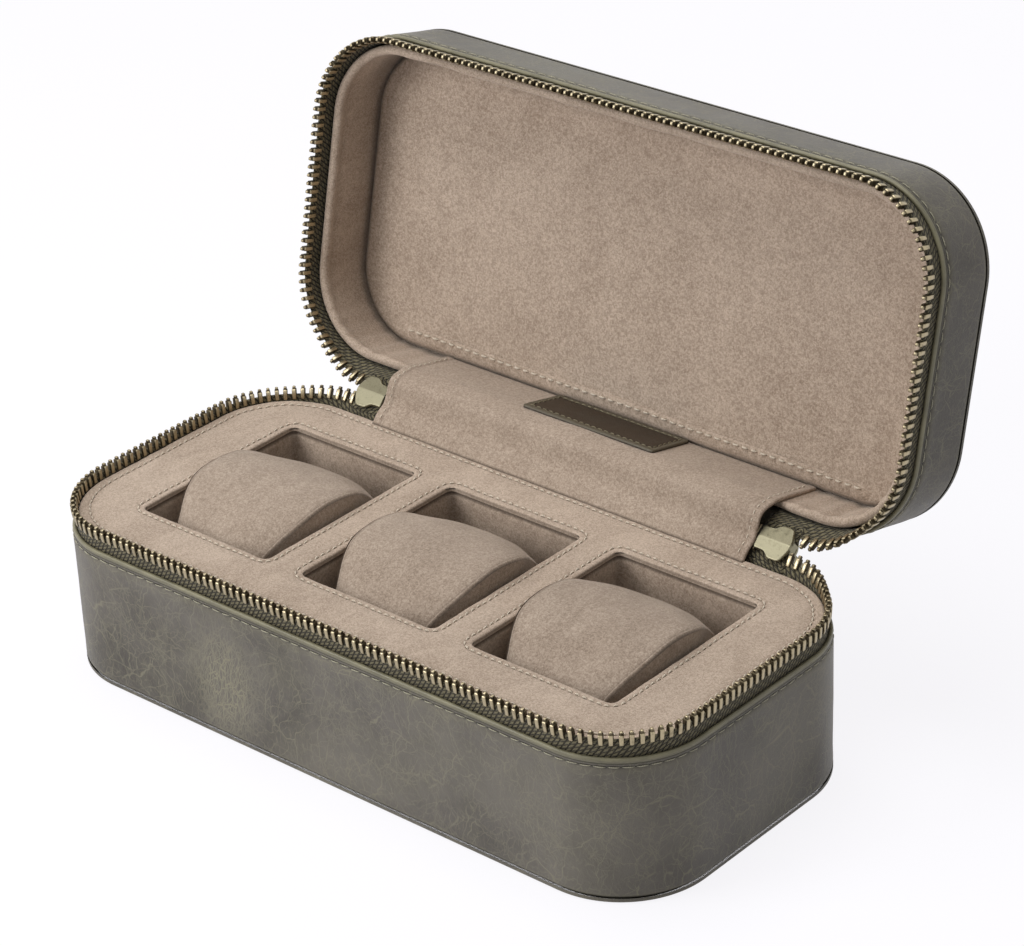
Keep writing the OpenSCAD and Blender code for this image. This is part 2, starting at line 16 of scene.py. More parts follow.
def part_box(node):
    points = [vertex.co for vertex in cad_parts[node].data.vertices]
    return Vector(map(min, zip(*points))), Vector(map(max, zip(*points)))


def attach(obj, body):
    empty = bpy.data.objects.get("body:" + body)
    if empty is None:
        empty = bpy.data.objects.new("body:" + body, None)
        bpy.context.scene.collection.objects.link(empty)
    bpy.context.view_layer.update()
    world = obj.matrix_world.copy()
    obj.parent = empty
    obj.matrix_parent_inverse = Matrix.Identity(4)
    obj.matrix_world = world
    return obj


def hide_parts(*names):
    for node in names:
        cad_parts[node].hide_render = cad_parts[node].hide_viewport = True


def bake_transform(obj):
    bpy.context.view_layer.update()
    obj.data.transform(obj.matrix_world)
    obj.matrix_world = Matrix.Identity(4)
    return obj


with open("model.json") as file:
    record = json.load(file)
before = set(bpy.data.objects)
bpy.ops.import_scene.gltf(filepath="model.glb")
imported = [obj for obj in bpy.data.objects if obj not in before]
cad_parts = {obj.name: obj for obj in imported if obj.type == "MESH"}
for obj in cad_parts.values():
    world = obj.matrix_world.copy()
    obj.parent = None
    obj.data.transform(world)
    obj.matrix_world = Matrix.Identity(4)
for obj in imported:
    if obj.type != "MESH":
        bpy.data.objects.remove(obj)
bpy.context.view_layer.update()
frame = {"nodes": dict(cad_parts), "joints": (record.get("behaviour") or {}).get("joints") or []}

bl_info = {
    "name": "Watch travel case",
    "version": (1, 0, 0),
    "blender": (4, 5, 0),
    "location": "3D View > Sidebar > Case",
    "description": "Makes the soft goods, finishes and studio of a zip-round watch travel case",
    "category": "Object",
}

MM = 0.001
TAU = 2 * math.pi
# Thickness of the stiffening boards behind the leather
BOARD = 1.6 * MM
# Gap between pieces that touch
TOUCH = 0.1 * MM
HINGE = next(j for j in frame["joints"] if j["name"] == "lid_hinge")
HINGE_Y, HINGE_Z = HINGE["pos_m"][1], HINGE["pos_m"][2]
OPEN_ANGLE = math.radians(-HINGE["range_deg"][0])
SLIDER_X = next(j for j in frame["joints"] if j["name"] == "slider_right_turn")["pos_m"][0]
WALL_LOW, WALL_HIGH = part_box("base_side_leather")
WIDTH, DEPTH = WALL_HIGH.x - WALL_LOW.x, WALL_HIGH.y - WALL_LOW.y
BASE_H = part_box("base_edge_bead")[1].z
PANEL_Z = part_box("base_top_panel")[1].z
WELL_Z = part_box("base_floor_pad")[1].z
SPINE_W = 2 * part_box("hinge_spine")[1].x
WELLS = {w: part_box("well_lining_" + w) for w in ("left", "middle", "right")}


def length(name, about, mm, high=0.5):
    """A length for the panel, given here in millimetres."""
    return FloatProperty(name=name, description=about, default=mm * MM, min=0, max=high,
                         subtype="DISTANCE", unit="LENGTH", precision=4)


def colour(name, about, red, green, blue):
    """A colour for the panel, given here as a screen shows it, from 0 to 255."""
    straight = [((c / 255 + 0.055) / 1.055) ** 2.4 for c in (red, green, blue)]
    return FloatVectorProperty(name=name, description=about, default=(*straight, 1), size=4,
                               subtype="COLOR", min=0, max=1)


class CaseSizes(bpy.types.PropertyGroup):
    """Sizes that the case was built to, and the sizes of the work sewn on it"""
    corner: length("Corner radius", "Radius of the upright corners at the leather", 31)
    lid_h: length("Lid height", "Height of the lid from its outer face to its bead", 25.2)
    leather: length("Leather", "Thickness of the leather", 1.4)
    bead: length("Bead radius", "Radius of the bead along the leather's edge", 0.7)
    zip_gap: length("Zip gap", "Free band between the leather edges when the case is shut", 17)
    tape: length("Tape", "Thickness of the zip tape", 0.8)
    tape_sewn: length("Sewn tape", "Width of tape sewn in behind the leather", 6)
    tooth_w: length("Tooth width", "Width of a tooth along its row", 1.2)
    tooth_t: length("Tooth thickness", "Thickness of a tooth through the tape", 2.2)
    tooth_len: length("Tooth length", "Length of a tooth from its legs to its tip", 4.7)
    tooth_pitch: length("Tooth pitch", "Distance from one tooth to the next", 2.85)
    tooth_reach: length("Tooth reach", "How far a tooth reaches past the middle of the closed zip", 0.35)
    lining: length("Lid lining", "Thickness of the suede on the lid's side walls", 2.3)
    lid_panel: length("Lid panel", "Thickness of the padded panel in the lid", 3.6)
    rim_stitch: length("Rim stitch", "From one stitch to the next along the leather's rim", 4.2)
    suede_stitch: length("Suede stitch", "From one stitch to the next in the suede", 2.7)
    thread: length("Thread", "Thickness of the sewing thread", 0.5)


class CaseColours(bpy.types.PropertyGroup):
    """Colours of the case's materials"""
    leather: colour("Leather", "Main colour of the leather", 111, 106, 99)
    leather_dark: colour("Dark leather", "Darker clouds in the leather", 80, 76, 69)
    vein: colour("Veins", "Pale lines where the leather has been pulled", 146, 141, 118)
    rim: colour("Rim", "Pale olive bead along the leather's edge", 140, 134, 108)
    # Painted shade: this colour darkens the leather's grooves and the joint at the foot of its wall
    cut: colour("Cut edge", "Dark dyed edge of the leather", 36, 36, 26)
    suede: colour("Suede", "Suede where its nap lies flat", 204, 185, 167)
    suede_dark: colour("Dark suede", "Suede where its nap stands up", 142, 123, 106)
    patch: colour("Patch", "Dark brown leather of the patch", 54, 43, 31)
    patch_edge: colour("Patch border", "Grey-olive border of the patch", 88, 81, 66)
    patch_thread: colour("Patch thread", "Thread along the patch's border", 140, 130, 104)
    tape: colour("Zip tape", "Raised ribs of the woven tape", 124, 116, 90)
    tape_dark: colour("Dark tape", "Grooves between the tape's ribs", 44, 39, 27)
    brass: colour("Brass", "Rubbed metal of the teeth", 178, 165, 136)
    # On the sliders this colour also paints a darker reflection over one half of each plate
    patina: colour("Patina", "Dark patina in the metal's hollows", 48, 40, 27)
    plate: colour("Plate", "Pale brass of the sliders", 146, 141, 118)
    thread: colour("Olive thread", "Thread along the leather's rim", 186, 180, 156)
    pale_thread: colour("Pale thread", "Thread in the suede", 232, 218, 198)
    fibre: colour("Board", "Fibreboard inside the walls", 142, 122, 94)
    foam: colour("Foam", "Foam block that holds the wells", 216, 210, 192)


class CaseStudio(bpy.types.PropertyGroup):
    """Floor, lamps and camera"""
    floor: colour("Floor", "Pale floor", 232, 232, 238)
    key: FloatProperty(name="Key lamp", description="Power of the large lamp above the case",
                       default=9, min=0, max=200, unit="POWER")
    side: FloatProperty(name="Side lamp", description="Power of the lamp in front of the case at the left",
                        default=6.4, min=0, max=200, unit="POWER")
    sky: FloatProperty(name="Surrounding light", description="Strength of the even light all round",
                       default=0.32, min=0, max=5)
    lens: FloatProperty(name="Lens", description="Focal length of the camera in millimetres",
                        default=126.888, min=20, max=400, unit="CAMERA")


def sizes():
    return bpy.context.scene.case_sizes


def colours():
    return bpy.context.scene.case_colours


# Forms

def as_lid(points):
    """Points of a tray that lies mouth up with its outer face at z = 0, put where the open lid has them."""
    p, s = np.asarray(points, float), sizes()
    y, z = p[..., 1] - HINGE_Y, s.zip_gap / 2 + s.lid_h - p[..., 2]
    c, n = math.cos(OPEN_ANGLE), math.sin(OPEN_ANGLE)
    return np.stack([p[..., 0], HINGE_Y + y * c + z * n, HINGE_Z - y * n + z * c], -1)


def as_base(points):
    return np.asarray(points, float)


def ripple(points, size, seed, layers=7):
    """Smooth, uneven waves of about that size, from -1 to 1, the same on every run."""
    rng = np.random.default_rng(seed)
    total = np.zeros(points.shape[:-1])
    for _ in range(layers):
        way = rng.normal(size=points.shape[-1])
        way *= TAU / (size * rng.uniform(0.6, 1.7)) / np.linalg.norm(way)
        total += np.sin(points @ way + rng.uniform(0, TAU))
    return total / math.sqrt(layers) / 1.5


def eased(x, start, end):
    """0 before start, 1 after end, and a smooth step between them."""
    t = np.clip((np.asarray(x, float) - start) / (end - start), 0, 1)
    return t * t * (3 - 2 * t)


def bell(x, middle, width):
    """1 at the middle, with a smooth fall to 0 on both sides."""
    return np.exp(-((x - middle) / width) ** 2)


def rolled(depth, r):
    """How far an edge of radius r has dropped below its flat face, at a depth in from the outline."""
    depth = np.clip(depth, 0, r)
    return r - np.sqrt(np.maximum(r * r - (r - depth) ** 2, 0))


def depth_in(xy, width, depth, radius, centre=(0.0, 0.0)):
    """How far inside a rectangle with round corners a place lies. Outside it is less than 0."""
    q = np.abs(xy - np.asarray(centre)) - (np.array([width, depth]) / 2 - radius)
    return radius - np.linalg.norm(np.maximum(q, 0), axis=-1) - np.minimum(q.max(-1), 0)


def unit(v):
    v = np.asarray(v, float)
    return v / np.linalg.norm(v, axis=-1, keepdims=True)


def run_of(line):
    """How far along a line each of its points lies."""
    return np.r_[0, np.cumsum(np.linalg.norm(np.diff(line, axis=0), axis=-1))]


def read_at(at, run, values):
    """What values, one row for each point of a run, come to at other places along it."""
    return np.stack([np.interp(at, run, column) for column in np.asarray(values, float).T], -1)


class Plan:
    """The case's plan, a rectangle with round corners, sampled once so that its rings match point for point.
    It starts at the middle of the hinge side and goes round by the left-hand end."""

    def __init__(self, width=WIDTH, depth=DEPTH, radius=None, step=1.5 * MM):
        self.radius = sizes().corner if radius is None else radius
        hx, hy = width / 2 - self.radius, depth / 2 - self.radius
        self.half = np.array([hx, hy])
        spine = min(SPINE_W / 2, hx * 0.9)
        # Where each side and corner starts and ends, and the way that it faces. A corner has no end of its own
        lines = [((0, hy), (-spine, hy), 90), ((-spine, hy), (-hx, hy), 90), ((-hx, hy), None, 90),
                 ((-hx, hy), (-hx, -hy), 180), ((-hx, -hy), None, 180), ((-hx, -hy), (hx, -hy), 270),
                 ((hx, -hy), None, 270), ((hx, -hy), (hx, hy), 0), ((hx, hy), None, 0),
                 ((hx, hy), (spine, hy), 90), ((spine, hy), (0, hy), 90)]
        anchors, angles, along, far = [], [], [], 0.0
        for start, end, angle in lines:
            reach = self.radius * math.pi / 2 if end is None else math.dist(start, end)
            n = max(3, round(reach / step))
            for t in (i / n for i in range(n)):
                anchors.append(start if end is None else [a + (b - a) * t for a, b in zip(start, end)])
                angles.append(math.radians(angle + 90 * t if end is None else angle))
                along.append(far + reach * t)
            far += reach
        self.anchors, self.along, self.round = np.array(anchors), np.array(along), far
        self.out = np.stack([np.cos(angles), np.sin(angles)], -1)

    def ring(self, inset):
        """The line that lies inset inside the case's outer face."""
        half = np.maximum(self.half - max(inset - self.radius, 0), 0)
        return np.clip(self.anchors, -half, half) + self.out * max(self.radius - inset, 0)

    def rings(self, inset, steps):
        """Lines that lie further in than inset by each of the steps, in millimetres."""
        return [self.ring(inset + step * MM) for step in steps]

    def open_to(self, gap):
        """Which points are left when a gap is cut in the hinge side."""
        return (self.along > gap / 2 - 1e-6) & (self.along < self.round - gap / 2 + 1e-6)

    def swept(self, profile, bulge=None):
        """Points (round, profile, 3) of a profile of (inset, height) carried round the plan."""
        profile = np.asarray(profile, float)
        rings = np.stack([self.ring(inset) for inset in profile[:, 0]], 1)
        heights = np.broadcast_to(profile[:, 1], rings.shape[:2])
        points = np.concatenate([rings, heights[..., None]], -1)
        if bulge is not None:
            points[..., :2] += self.out[:, None] * bulge(points)[..., None]
        return points


def mesh_of(name, points, faces):
    mesh = bpy.data.meshes.new(name)
    faces = faces.tolist() if isinstance(faces, np.ndarray) else faces
    mesh.from_pydata(np.asarray(points).reshape(-1, 3).tolist(), [], faces)
    mesh.polygons.foreach_set("use_smooth", np.ones(len(mesh.polygons), bool))
    return mesh


def skin(name, points, around=False, across=False, u=None, v=None, caps=False):
    """A mesh over a grid of points, joined end to end around its rows or across them.
    u runs along its rows and v across them, both in metres."""
    m, n = points.shape[:2]
    i, j = np.meshgrid(np.arange(m if around else m - 1), np.arange(n if across else n - 1), indexing="ij")
    i, j = i.ravel(), j.ravel()
    cell = [(i, j), (i + 1, j), (i + 1, j + 1), (i, j + 1)]
    faces = np.stack([(a % m) * n + b % n for a, b in cell], -1).tolist()
    if caps:
        faces += [list(range(n)), list(range(m * n - 1, (m - 1) * n - 1, -1))]
    mesh = mesh_of(name, points, faces)
    u = run_of(points[:, 0]) if u is None else u
    v = run_of(points[0]) if v is None else v
    u, v = [np.r_[w, w[-1] + (w[-1] - w[-2])] for w in (np.asarray(u, float), np.asarray(v, float))]
    flat = np.stack([np.stack([u[a], v[b]], -1) for a, b in cell], 1).reshape(-1, 2)
    if caps:
        flat = np.r_[flat, np.zeros((2 * n, 2))]
    return laid_flat(mesh, flat)


def laid_flat(mesh, places):
    """Writes where each face's corners lie on the flat material."""
    mesh.uv_layers.new(name="Cloth").data.foreach_set("uv", places.astype(np.float32).ravel())
    return mesh


def normals_of(points):
    """Normals of a grid of points that is closed across its rows."""
    across = np.roll(points, -1, 1) - np.roll(points, 1, 1)
    n = np.cross(np.gradient(points, axis=0), across)
    return n / np.maximum(np.linalg.norm(n, axis=-1, keepdims=True), 1e-12)


def note(mesh, **notes):
    """Writes numbers for each point, which a material reads by their names."""
    for name, values in notes.items():
        numbers = np.asarray(values, np.float32).ravel()
        mesh.attributes.new(name, "FLOAT", "POINT").data.foreach_set("value", numbers)
    return mesh


def shown(name, data):
    """A new object in the scene."""
    made = bpy.data.objects.new(name, data)
    bpy.context.scene.collection.objects.link(made)
    return made


def piece(mesh, body, material, stands_for=()):
    """A shown piece that rides on a CAD body and stands for its nodes."""
    made = shown(mesh.name, mesh)
    mesh.materials.append(material)
    if isinstance(body, str):
        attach(made, body)
    if stands_for:
        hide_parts(*stands_for)
    return made


def stitch_row(name, rows, pitch, share=0.74, seed=3, slim=1.0):
    """Threads of a sewn row, each a short arch that dips into the material at both ends.
    rows is a list of (line, outward normals, closed), and slim makes the thread thinner."""
    r = sizes().thread / 2 * slim
    rng = np.random.default_rng(seed)
    t = np.linspace(-1, 1, 7)
    thick = np.sqrt(np.clip(1 - np.abs(t) ** 3.2, 0.06, 1)) * r
    arch = r * (0.75 - 1.5 * t ** 4)
    sides = 6
    ring = np.arange(sides)
    turn, after = ring * TAU / sides, (ring + 1) % sides
    quads = np.concatenate([np.stack([k + ring, k + after, k + sides + after, k + sides + ring], -1)
                            for k in sides * np.arange(len(t) - 1)])
    points, faces = [], []
    for line, normals, closed in rows:
        normals = np.broadcast_to(normals, np.shape(line))
        if closed:
            line, normals = np.r_[line, line[:1]], np.r_[normals, normals[:1]]
        run = run_of(line)
        count = max(2, round(run[-1] / pitch))
        at = (np.arange(count) + 0.5) * run[-1] / count
        ways = unit(read_at(at + pitch * 0.2, run, line) - read_at(at - pitch * 0.2, run, line))
        ups = unit(read_at(at, run, normals))
        for place, way, up, aside in zip(read_at(at, run, line), ways, ups, np.cross(ups, ways)):
            skewed = way + aside * rng.normal(0, 0.04)
            half = pitch * share / 2 * rng.uniform(0.94, 1.04)
            centre = place + np.outer(t * half, skewed) + np.outer(arch, up)
            rim = np.cos(turn)[:, None] * aside + np.sin(turn)[:, None] * up
            faces.append(quads + len(points) * len(t) * sides)
            points.append((centre[:, None] + thick[:, None, None] * rim).reshape(-1, 3))
    return mesh_of(name, np.concatenate(points), np.concatenate(faces))


# Shader nodes

class Recipe:
    """Adds nodes to a material's or a group's tree. A value may be a number, a colour or another node's socket."""

    def __init__(self, tree):
        self.tree = tree

    def put(self, node, inputs):
        for key, value in inputs.items():
            if isinstance(value, bpy.types.NodeSocket):
                self.tree.links.new(value, node.inputs[key])
            else:
                node.inputs[key].default_value = value

    def node(self, kind, inputs=None, **settings):
        made = self.tree.nodes.new("ShaderNode" + kind)
        for key, value in settings.items():
            setattr(made, key, value)
        self.put(made, inputs or {})
        return made

    def group(self, tree, **inputs):
        return self.node("Group", inputs, node_tree=tree).outputs

    def maths(self, operation, a, b=0.5):
        return self.node("Math", {0: a, 1: b}, operation=operation).outputs[0]

    def times(self, *values):
        return reduce(lambda a, b: self.maths("MULTIPLY", a, b), values)

    def most(self, *values):
        return reduce(lambda a, b: self.maths("MAXIMUM", a, b), values)

    def sum(self, *parts):
        """Adds up values. One that counts for only a share is given with it, as (value, share)."""
        values = [self.times(*part) if isinstance(part, tuple) else part for part in parts]
        return reduce(lambda a, b: self.maths("ADD", a, b), values)

    def range(self, value, low, high, to_low=0.0, to_high=1.0):
        return self.node("MapRange", {0: value, 1: low, 2: high, 3: to_low, 4: to_high},
                         interpolation_type="SMOOTHSTEP").outputs[0]

    def mix(self, share, a, b):
        return self.node("Mix", {0: share, 6: a, 7: b}, data_type="RGBA").outputs[2]

    def noise(self, where, scale, detail=2.0, rough=0.5, twist=0.0):
        return self.node("TexNoise", {"Vector": where, "Scale": scale, "Detail": detail, "Roughness": rough,
                                      "Distortion": twist}).outputs[0]

    def cells(self, where, scale, feature="F1", uneven=1.0, flat=False):
        return self.node("TexVoronoi", {"Vector": where, "Scale": scale, "Randomness": uneven}, feature=feature,
                         voronoi_dimensions="2D" if flat else "3D").outputs["Distance"]

    def stretched(self, where, scale=(1, 1, 1), move=(0, 0, 0), turn=0.0):
        return self.node("Mapping", {"Vector": where, "Location": move, "Rotation": (0, 0, turn),
                                     "Scale": scale}).outputs[0]

    def shaken(self, where, scale, amount):
        """The same place, moved about by soft noise."""
        cloud = self.node("TexNoise", {"Vector": where, "Scale": scale, "Detail": 2.0}).outputs["Color"]
        middle = self.node("VectorMath", {0: cloud, 1: (0.5, 0.5, 0.5)}, operation="SUBTRACT").outputs[0]
        moved = self.node("VectorMath", {0: middle, "Scale": amount}, operation="SCALE").outputs[0]
        return self.node("VectorMath", {0: where, 1: moved}, operation="ADD").outputs[0]

    def place(self):
        return self.node("TexCoord").outputs["Object"]

    def cloth(self):
        """The place on the flat material, before it was bent round the case."""
        return self.node("UVMap", uv_map="Cloth").outputs[0]

    def noted(self, name):
        return self.node("Attribute", attribute_name=name).outputs["Fac"]

    def bump(self, height, distance, strength=1.0):
        return self.node("Bump", {"Height": height, "Distance": distance, "Strength": strength}).outputs[0]

    def seen(self):
        """1 where the camera sees a surface, also by way of a shine or through glass, and 0 for its light."""
        path = self.node("LightPath").outputs
        return self.most(path["Is Camera Ray"], self.most(path["Is Glossy Ray"], path["Is Transmission Ray"]))


def dimmed(colour, share):
    return tuple(share * a for a in colour[:3]) + (1,)


def effect(name, numbers, results, build):
    """A node group that more than one material uses, built once. It takes a place and some numbers."""
    if name in bpy.data.node_groups:
        return bpy.data.node_groups[name]
    group = bpy.data.node_groups.new(name, "ShaderNodeTree")
    group.interface.new_socket("Place", in_out="INPUT", socket_type="NodeSocketVector")
    for key, value in numbers.items():
        group.interface.new_socket(key, in_out="INPUT", socket_type="NodeSocketFloat").default_value = value
    for key in results:
        group.interface.new_socket(key, in_out="OUTPUT", socket_type="NodeSocketFloat")
    given = group.nodes.new("NodeGroupInput")
    r = Recipe(group)
    r.put(group.nodes.new("NodeGroupOutput"), build(r, given.outputs))
    return group


def material(name, build, **fixed):
    """A material whose build puts sockets on its shader. Numbers that are the same all over are set on the shader."""
    if name in bpy.data.materials:
        return bpy.data.materials[name]
    made = bpy.data.materials.new(name)
    made.use_nodes = True
    shader = made.node_tree.nodes["Principled BSDF"]
    r = Recipe(made.node_tree)
    r.put(shader, {key.replace("_", " "): value for key, value in fixed.items()})
    r.put(shader, build(r))
    return made


def grain():
    """Pores and fine creases of tanned leather."""
    def build(r, given):
        where, scale = given["Place"], given["Scale"]
        pores = r.range(r.cells(where, scale, uneven=0.9), 0.0, 0.55)
        creased = r.shaken(where, r.times(scale, 0.2), 0.0006)
        creases = r.range(r.cells(creased, r.times(scale, 0.28), "DISTANCE_TO_EDGE"), 0.0, 0.12)
        fine = r.noise(where, r.times(scale, 1.8), 3.0, 0.6)
        return {"Height": r.sum((pores, 0.35), (creases, 0.3), (fine, 0.35))}
    return effect("Leather grain", {"Scale": 2600.0}, ("Height",), build)


def nap():
    """Short suede nap: brushed clouds, speckle and fibres."""
    def build(r, given):
        where, size = given["Place"], given["Scale"]
        fuzz = r.noise(where, r.times(size, 2300.0), 3.0, 0.7, 0.4)
        tuft = r.noise(r.shaken(where, 700.0, 0.0007), r.times(size, 1450.0), 3.0, 0.62, 1.0)
        brushed = r.noise(r.stretched(where, (1, 0.45, 1)), 75.0, 3.0, 0.6, 1.4)
        broad = r.noise(where, 21.0, 2.0, 0.5, 0.6)
        tone = r.sum((r.range(tuft, 0.4, 0.6), 0.4), (r.range(fuzz, 0.4, 0.6), 0.32),
                     (r.range(brushed, 0.32, 0.68), given["Clouds"]), (r.range(broad, 0.35, 0.65), 0.12))
        return {"Tone": tone, "Height": r.sum((tuft, 0.6), (fuzz, 0.4))}
    return effect("Suede nap", {"Scale": 1.0, "Clouds": 0.2}, ("Tone", "Height"), build)


def tarnish():
    """Patina that stays in hollows and is gone from the ridges. On the sliders its mask also holds painted reflection
    and highlight.
    """
    def build(r, given):
        where = given["Place"]
        cloud = r.noise(where, 520.0, 4.0, 0.65)
        speck = r.range(r.noise(where, 2400.0, 3.0, 0.7), 0.42, 0.72)
        mask = r.sum((given["Hollow"], 0.85), (r.range(cloud, 0.48, 0.75), given["Amount"]), (speck, 0.12))
        return {"Mask": r.node("Clamp", {0: mask}).outputs[0], "Height": r.times(cloud, 0.5)}
    return effect("Tarnish", {"Hollow": 0.0, "Amount": 0.4}, ("Mask", "Height"), build)


# Layers of veins: which way they run, how many to a metre, how slim their meshes are, their width and strength
VEINS = ((8, 42, 0.42, 0.011, 0.5), (-48, 58, 0.4, 0.013, 0.5), (37, 92, 0.36, 0.019, 0.5),
         (-14, 145, 0.38, 0.027, 0.5), (62, 190, 0.4, 0.034, 0.45), (-68, 290, 0.42, 0.048, 0.42),
         (22, 410, 0.5, 0.065, 0.38), (-35, 620, 0.4, 0.09, 0.34), (5, 330, 0.17, 0.045, 0.42))
# Layers of the creases in the pulled spot: which way they run, how many to a metre, and their width
SHEAF = ((14, 340.0, 0.05), (-16, 430.0, 0.06), (4, 640.0, 0.085), (38, 520.0, 0.06))


def lines_of(r, flat, turn, scale, slim, width, move=0.0):
    """Fine lines between long, slim cells that run across the turned material."""
    turned = r.stretched(flat, move=(move, 0, 0), turn=math.radians(turn))
    edge = r.cells(r.stretched(turned, (1, slim, 1)), float(scale), "DISTANCE_TO_EDGE", flat=True)
    return r.range(edge, 0.0, width, 1.0, 0.0)


def pulled(r, flat):
    """A sheaf of fine, crossing creases near the middle of the base's front, and how near that place is."""
    away = r.stretched(r.shaken(flat, 30.0, 0.006), move=(-0.2973, -0.021, 0))
    far = r.node("VectorMath", {0: r.stretched(away, (1.25, 0.8, 1))}, operation="LENGTH").outputs["Value"]
    near = r.range(far, 0.005, 0.024, 1.0, 0.0)
    bent = r.shaken(flat, 130.0, 0.0035)
    lines = r.most(*[lines_of(r, bent, turn, scale, 0.22, width) for turn, scale, width in SHEAF])
    return r.times(lines, near, 0.85), near


def leather_finish():
    """Waxed pull-up leather: clouds of grey and olive, with pale fibrous veins where it has been pulled."""
    def build(r):
        c, where, flat = colours(), r.place(), r.cloth()
        broad, cloud = r.noise(where, 17.0, 3.0, 0.55, 0.5), r.noise(where, 60.0, 4.0, 0.6, 0.8)
        shade = r.sum((r.range(broad, 0.34, 0.66), 0.6), (r.range(cloud, 0.3, 0.7), 0.4))
        base = r.mix(shade, c.leather_dark[:], c.leather[:])
        soft = r.shaken(flat, 24.0, 0.013)
        layers = []
        for turn, scale, slim, width, strength in VEINS:
            bent = r.shaken(soft, scale * 1.7, 0.55 / scale)
            patches = r.noise(r.stretched(flat, move=(scale * 0.11, 0, 0.02 * scale)), scale * 0.2 + 9, 3.0, 0.6, 0.8)
            layers.append(r.times(lines_of(r, bent, turn, scale, slim, width, scale * 0.37),
                                  r.range(patches, 0.44, 0.62, 0.0, strength)))
        sheaf, near = pulled(r, flat)
        veins = r.most(*layers, sheaf)
        nest = r.noise(r.stretched(where, (1, 1, 1.3), (0.02, 0.0, 0.0)), 13.0, 2.0, 0.5, 0.4)
        streak = r.noise(r.stretched(r.shaken(flat, 40.0, 0.01), (1, 0.4, 1), turn=0.6), 95.0, 3.0, 0.6, 1.2)
        waxed = r.most(r.range(nest, 0.48, 0.68), r.range(streak, 0.5, 0.7))
        glow = r.most(r.times(waxed, 0.22), r.times(near, 0.12))
        base = r.mix(glow, base, tuple(0.5 * (a + b) for a, b in zip(c.vein, c.leather)))
        base = r.mix(veins, base, c.vein[:])
        pores = r.group(grain(), Place=where, Scale=2300.0)["Height"]
        base = r.mix(r.range(pores, 0.15, 0.5, 0.16, 0.0), base, (0.01, 0.01, 0.008, 1))
        # Paler rim colour: wear just under the rim and along the spine's middle, and a painted highlight on the lip
        # near the foot
        base = r.mix(r.times(r.noted("worn"), 0.5), base, c.rim[:])
        # Painted shade in the grooves and along the joint at the foot
        base = r.mix(r.noted("seam"), base, c.cut[:])
        return {"Base Color": base, "Roughness": r.sum(r.range(cloud, 0.2, 0.8, 0.4, 0.52), (veins, 0.1)),
                "Normal": r.bump(r.sum(pores, (veins, -0.4)), 0.00012, 0.75)}
    return material("Pull-up leather", build, Specular_IOR_Level=0.22, Coat_Weight=0.03, Coat_Roughness=0.25)


def rim_finish():
    """Smooth, pale olive leather of the bead."""
    def build(r):
        c, where = colours(), r.place()
        cloud = r.range(r.noise(where, 90.0, 4.0, 0.6), 0.3, 0.7)
        pores = r.group(grain(), Place=where, Scale=3000.0)["Height"]
        return {"Base Color": r.mix(cloud, dimmed(c.rim, 0.62), c.rim[:]),
                "Roughness": r.range(cloud, 0.0, 1.0, 0.36, 0.46), "Normal": r.bump(pores, 0.00006, 0.6)}
    return material("Rim leather", build, Specular_IOR_Level=0.4)


def patch_finish():
    """Dark brown leather with a grey-olive border outside its stitches."""
    def build(r):
        c, where = colours(), r.place()
        cloud = r.range(r.noise(where, 110.0, 4.0, 0.6), 0.3, 0.7)
        dark = r.mix(cloud, dimmed(c.patch, 0.66), c.patch[:])
        pores = r.group(grain(), Place=where, Scale=2000.0)["Height"]
        return {"Base Color": r.mix(r.range(r.noted("border"), 0.4, 0.6), dark, c.patch_edge[:]),
                "Roughness": r.range(cloud, 0.0, 1.0, 0.38, 0.5), "Normal": r.bump(pores, 0.00014, 0.8)}
    return material("Patch leather", build, Specular_IOR_Level=0.34)


# Suedes: how coarse the nap is, how strong its clouds are, how deep it stands, and how bright it is. Below 1 the
# suede is a dimmed copy, as painted shade on the cushions and the flap
SUEDES = {"Suede": (1.0, 0.2, 0.00022, 1.0), "Well suede": (0.8, 0.28, 0.00022, 1.0),
          "Cushion suede": (0.8, 0.2, 0.00022, 0.8), "Lid suede": (0.72, 0.14, 0.0003, 1.0),
          "Flap suede": (0.8, 0.1, 0.00022, 0.86)}


def suede_finish(name):
    """Beige suede. A piece notes its painted shade, which darkens its folds, stitch lines, corners and the places
    under its edges.
    """
    scale, clouds, depth, bright = SUEDES[name]

    def build(r):
        c = colours()
        brushed = r.group(nap(), Place=r.place(), Scale=scale, Clouds=clouds)
        # Painted shade: a brightness below 1 dims the same suede
        base = r.mix(brushed["Tone"], dimmed(c.suede_dark, bright), dimmed(c.suede, bright))
        # Painted shade: the noted mask mixes the suede towards a dim copy of its dark colour
        base = r.mix(r.times(r.noted("crease"), 0.75), base, dimmed(c.suede_dark, 0.3))
        return {"Base Color": base, "Normal": r.bump(brushed["Height"], depth, 0.9)}
    return material(name, build, Roughness=0.92, Specular_IOR_Level=0.25, Sheen_Weight=0.28,
                    Sheen_Roughness=0.55, Sheen_Tint=(0.95, 0.88, 0.8, 1))


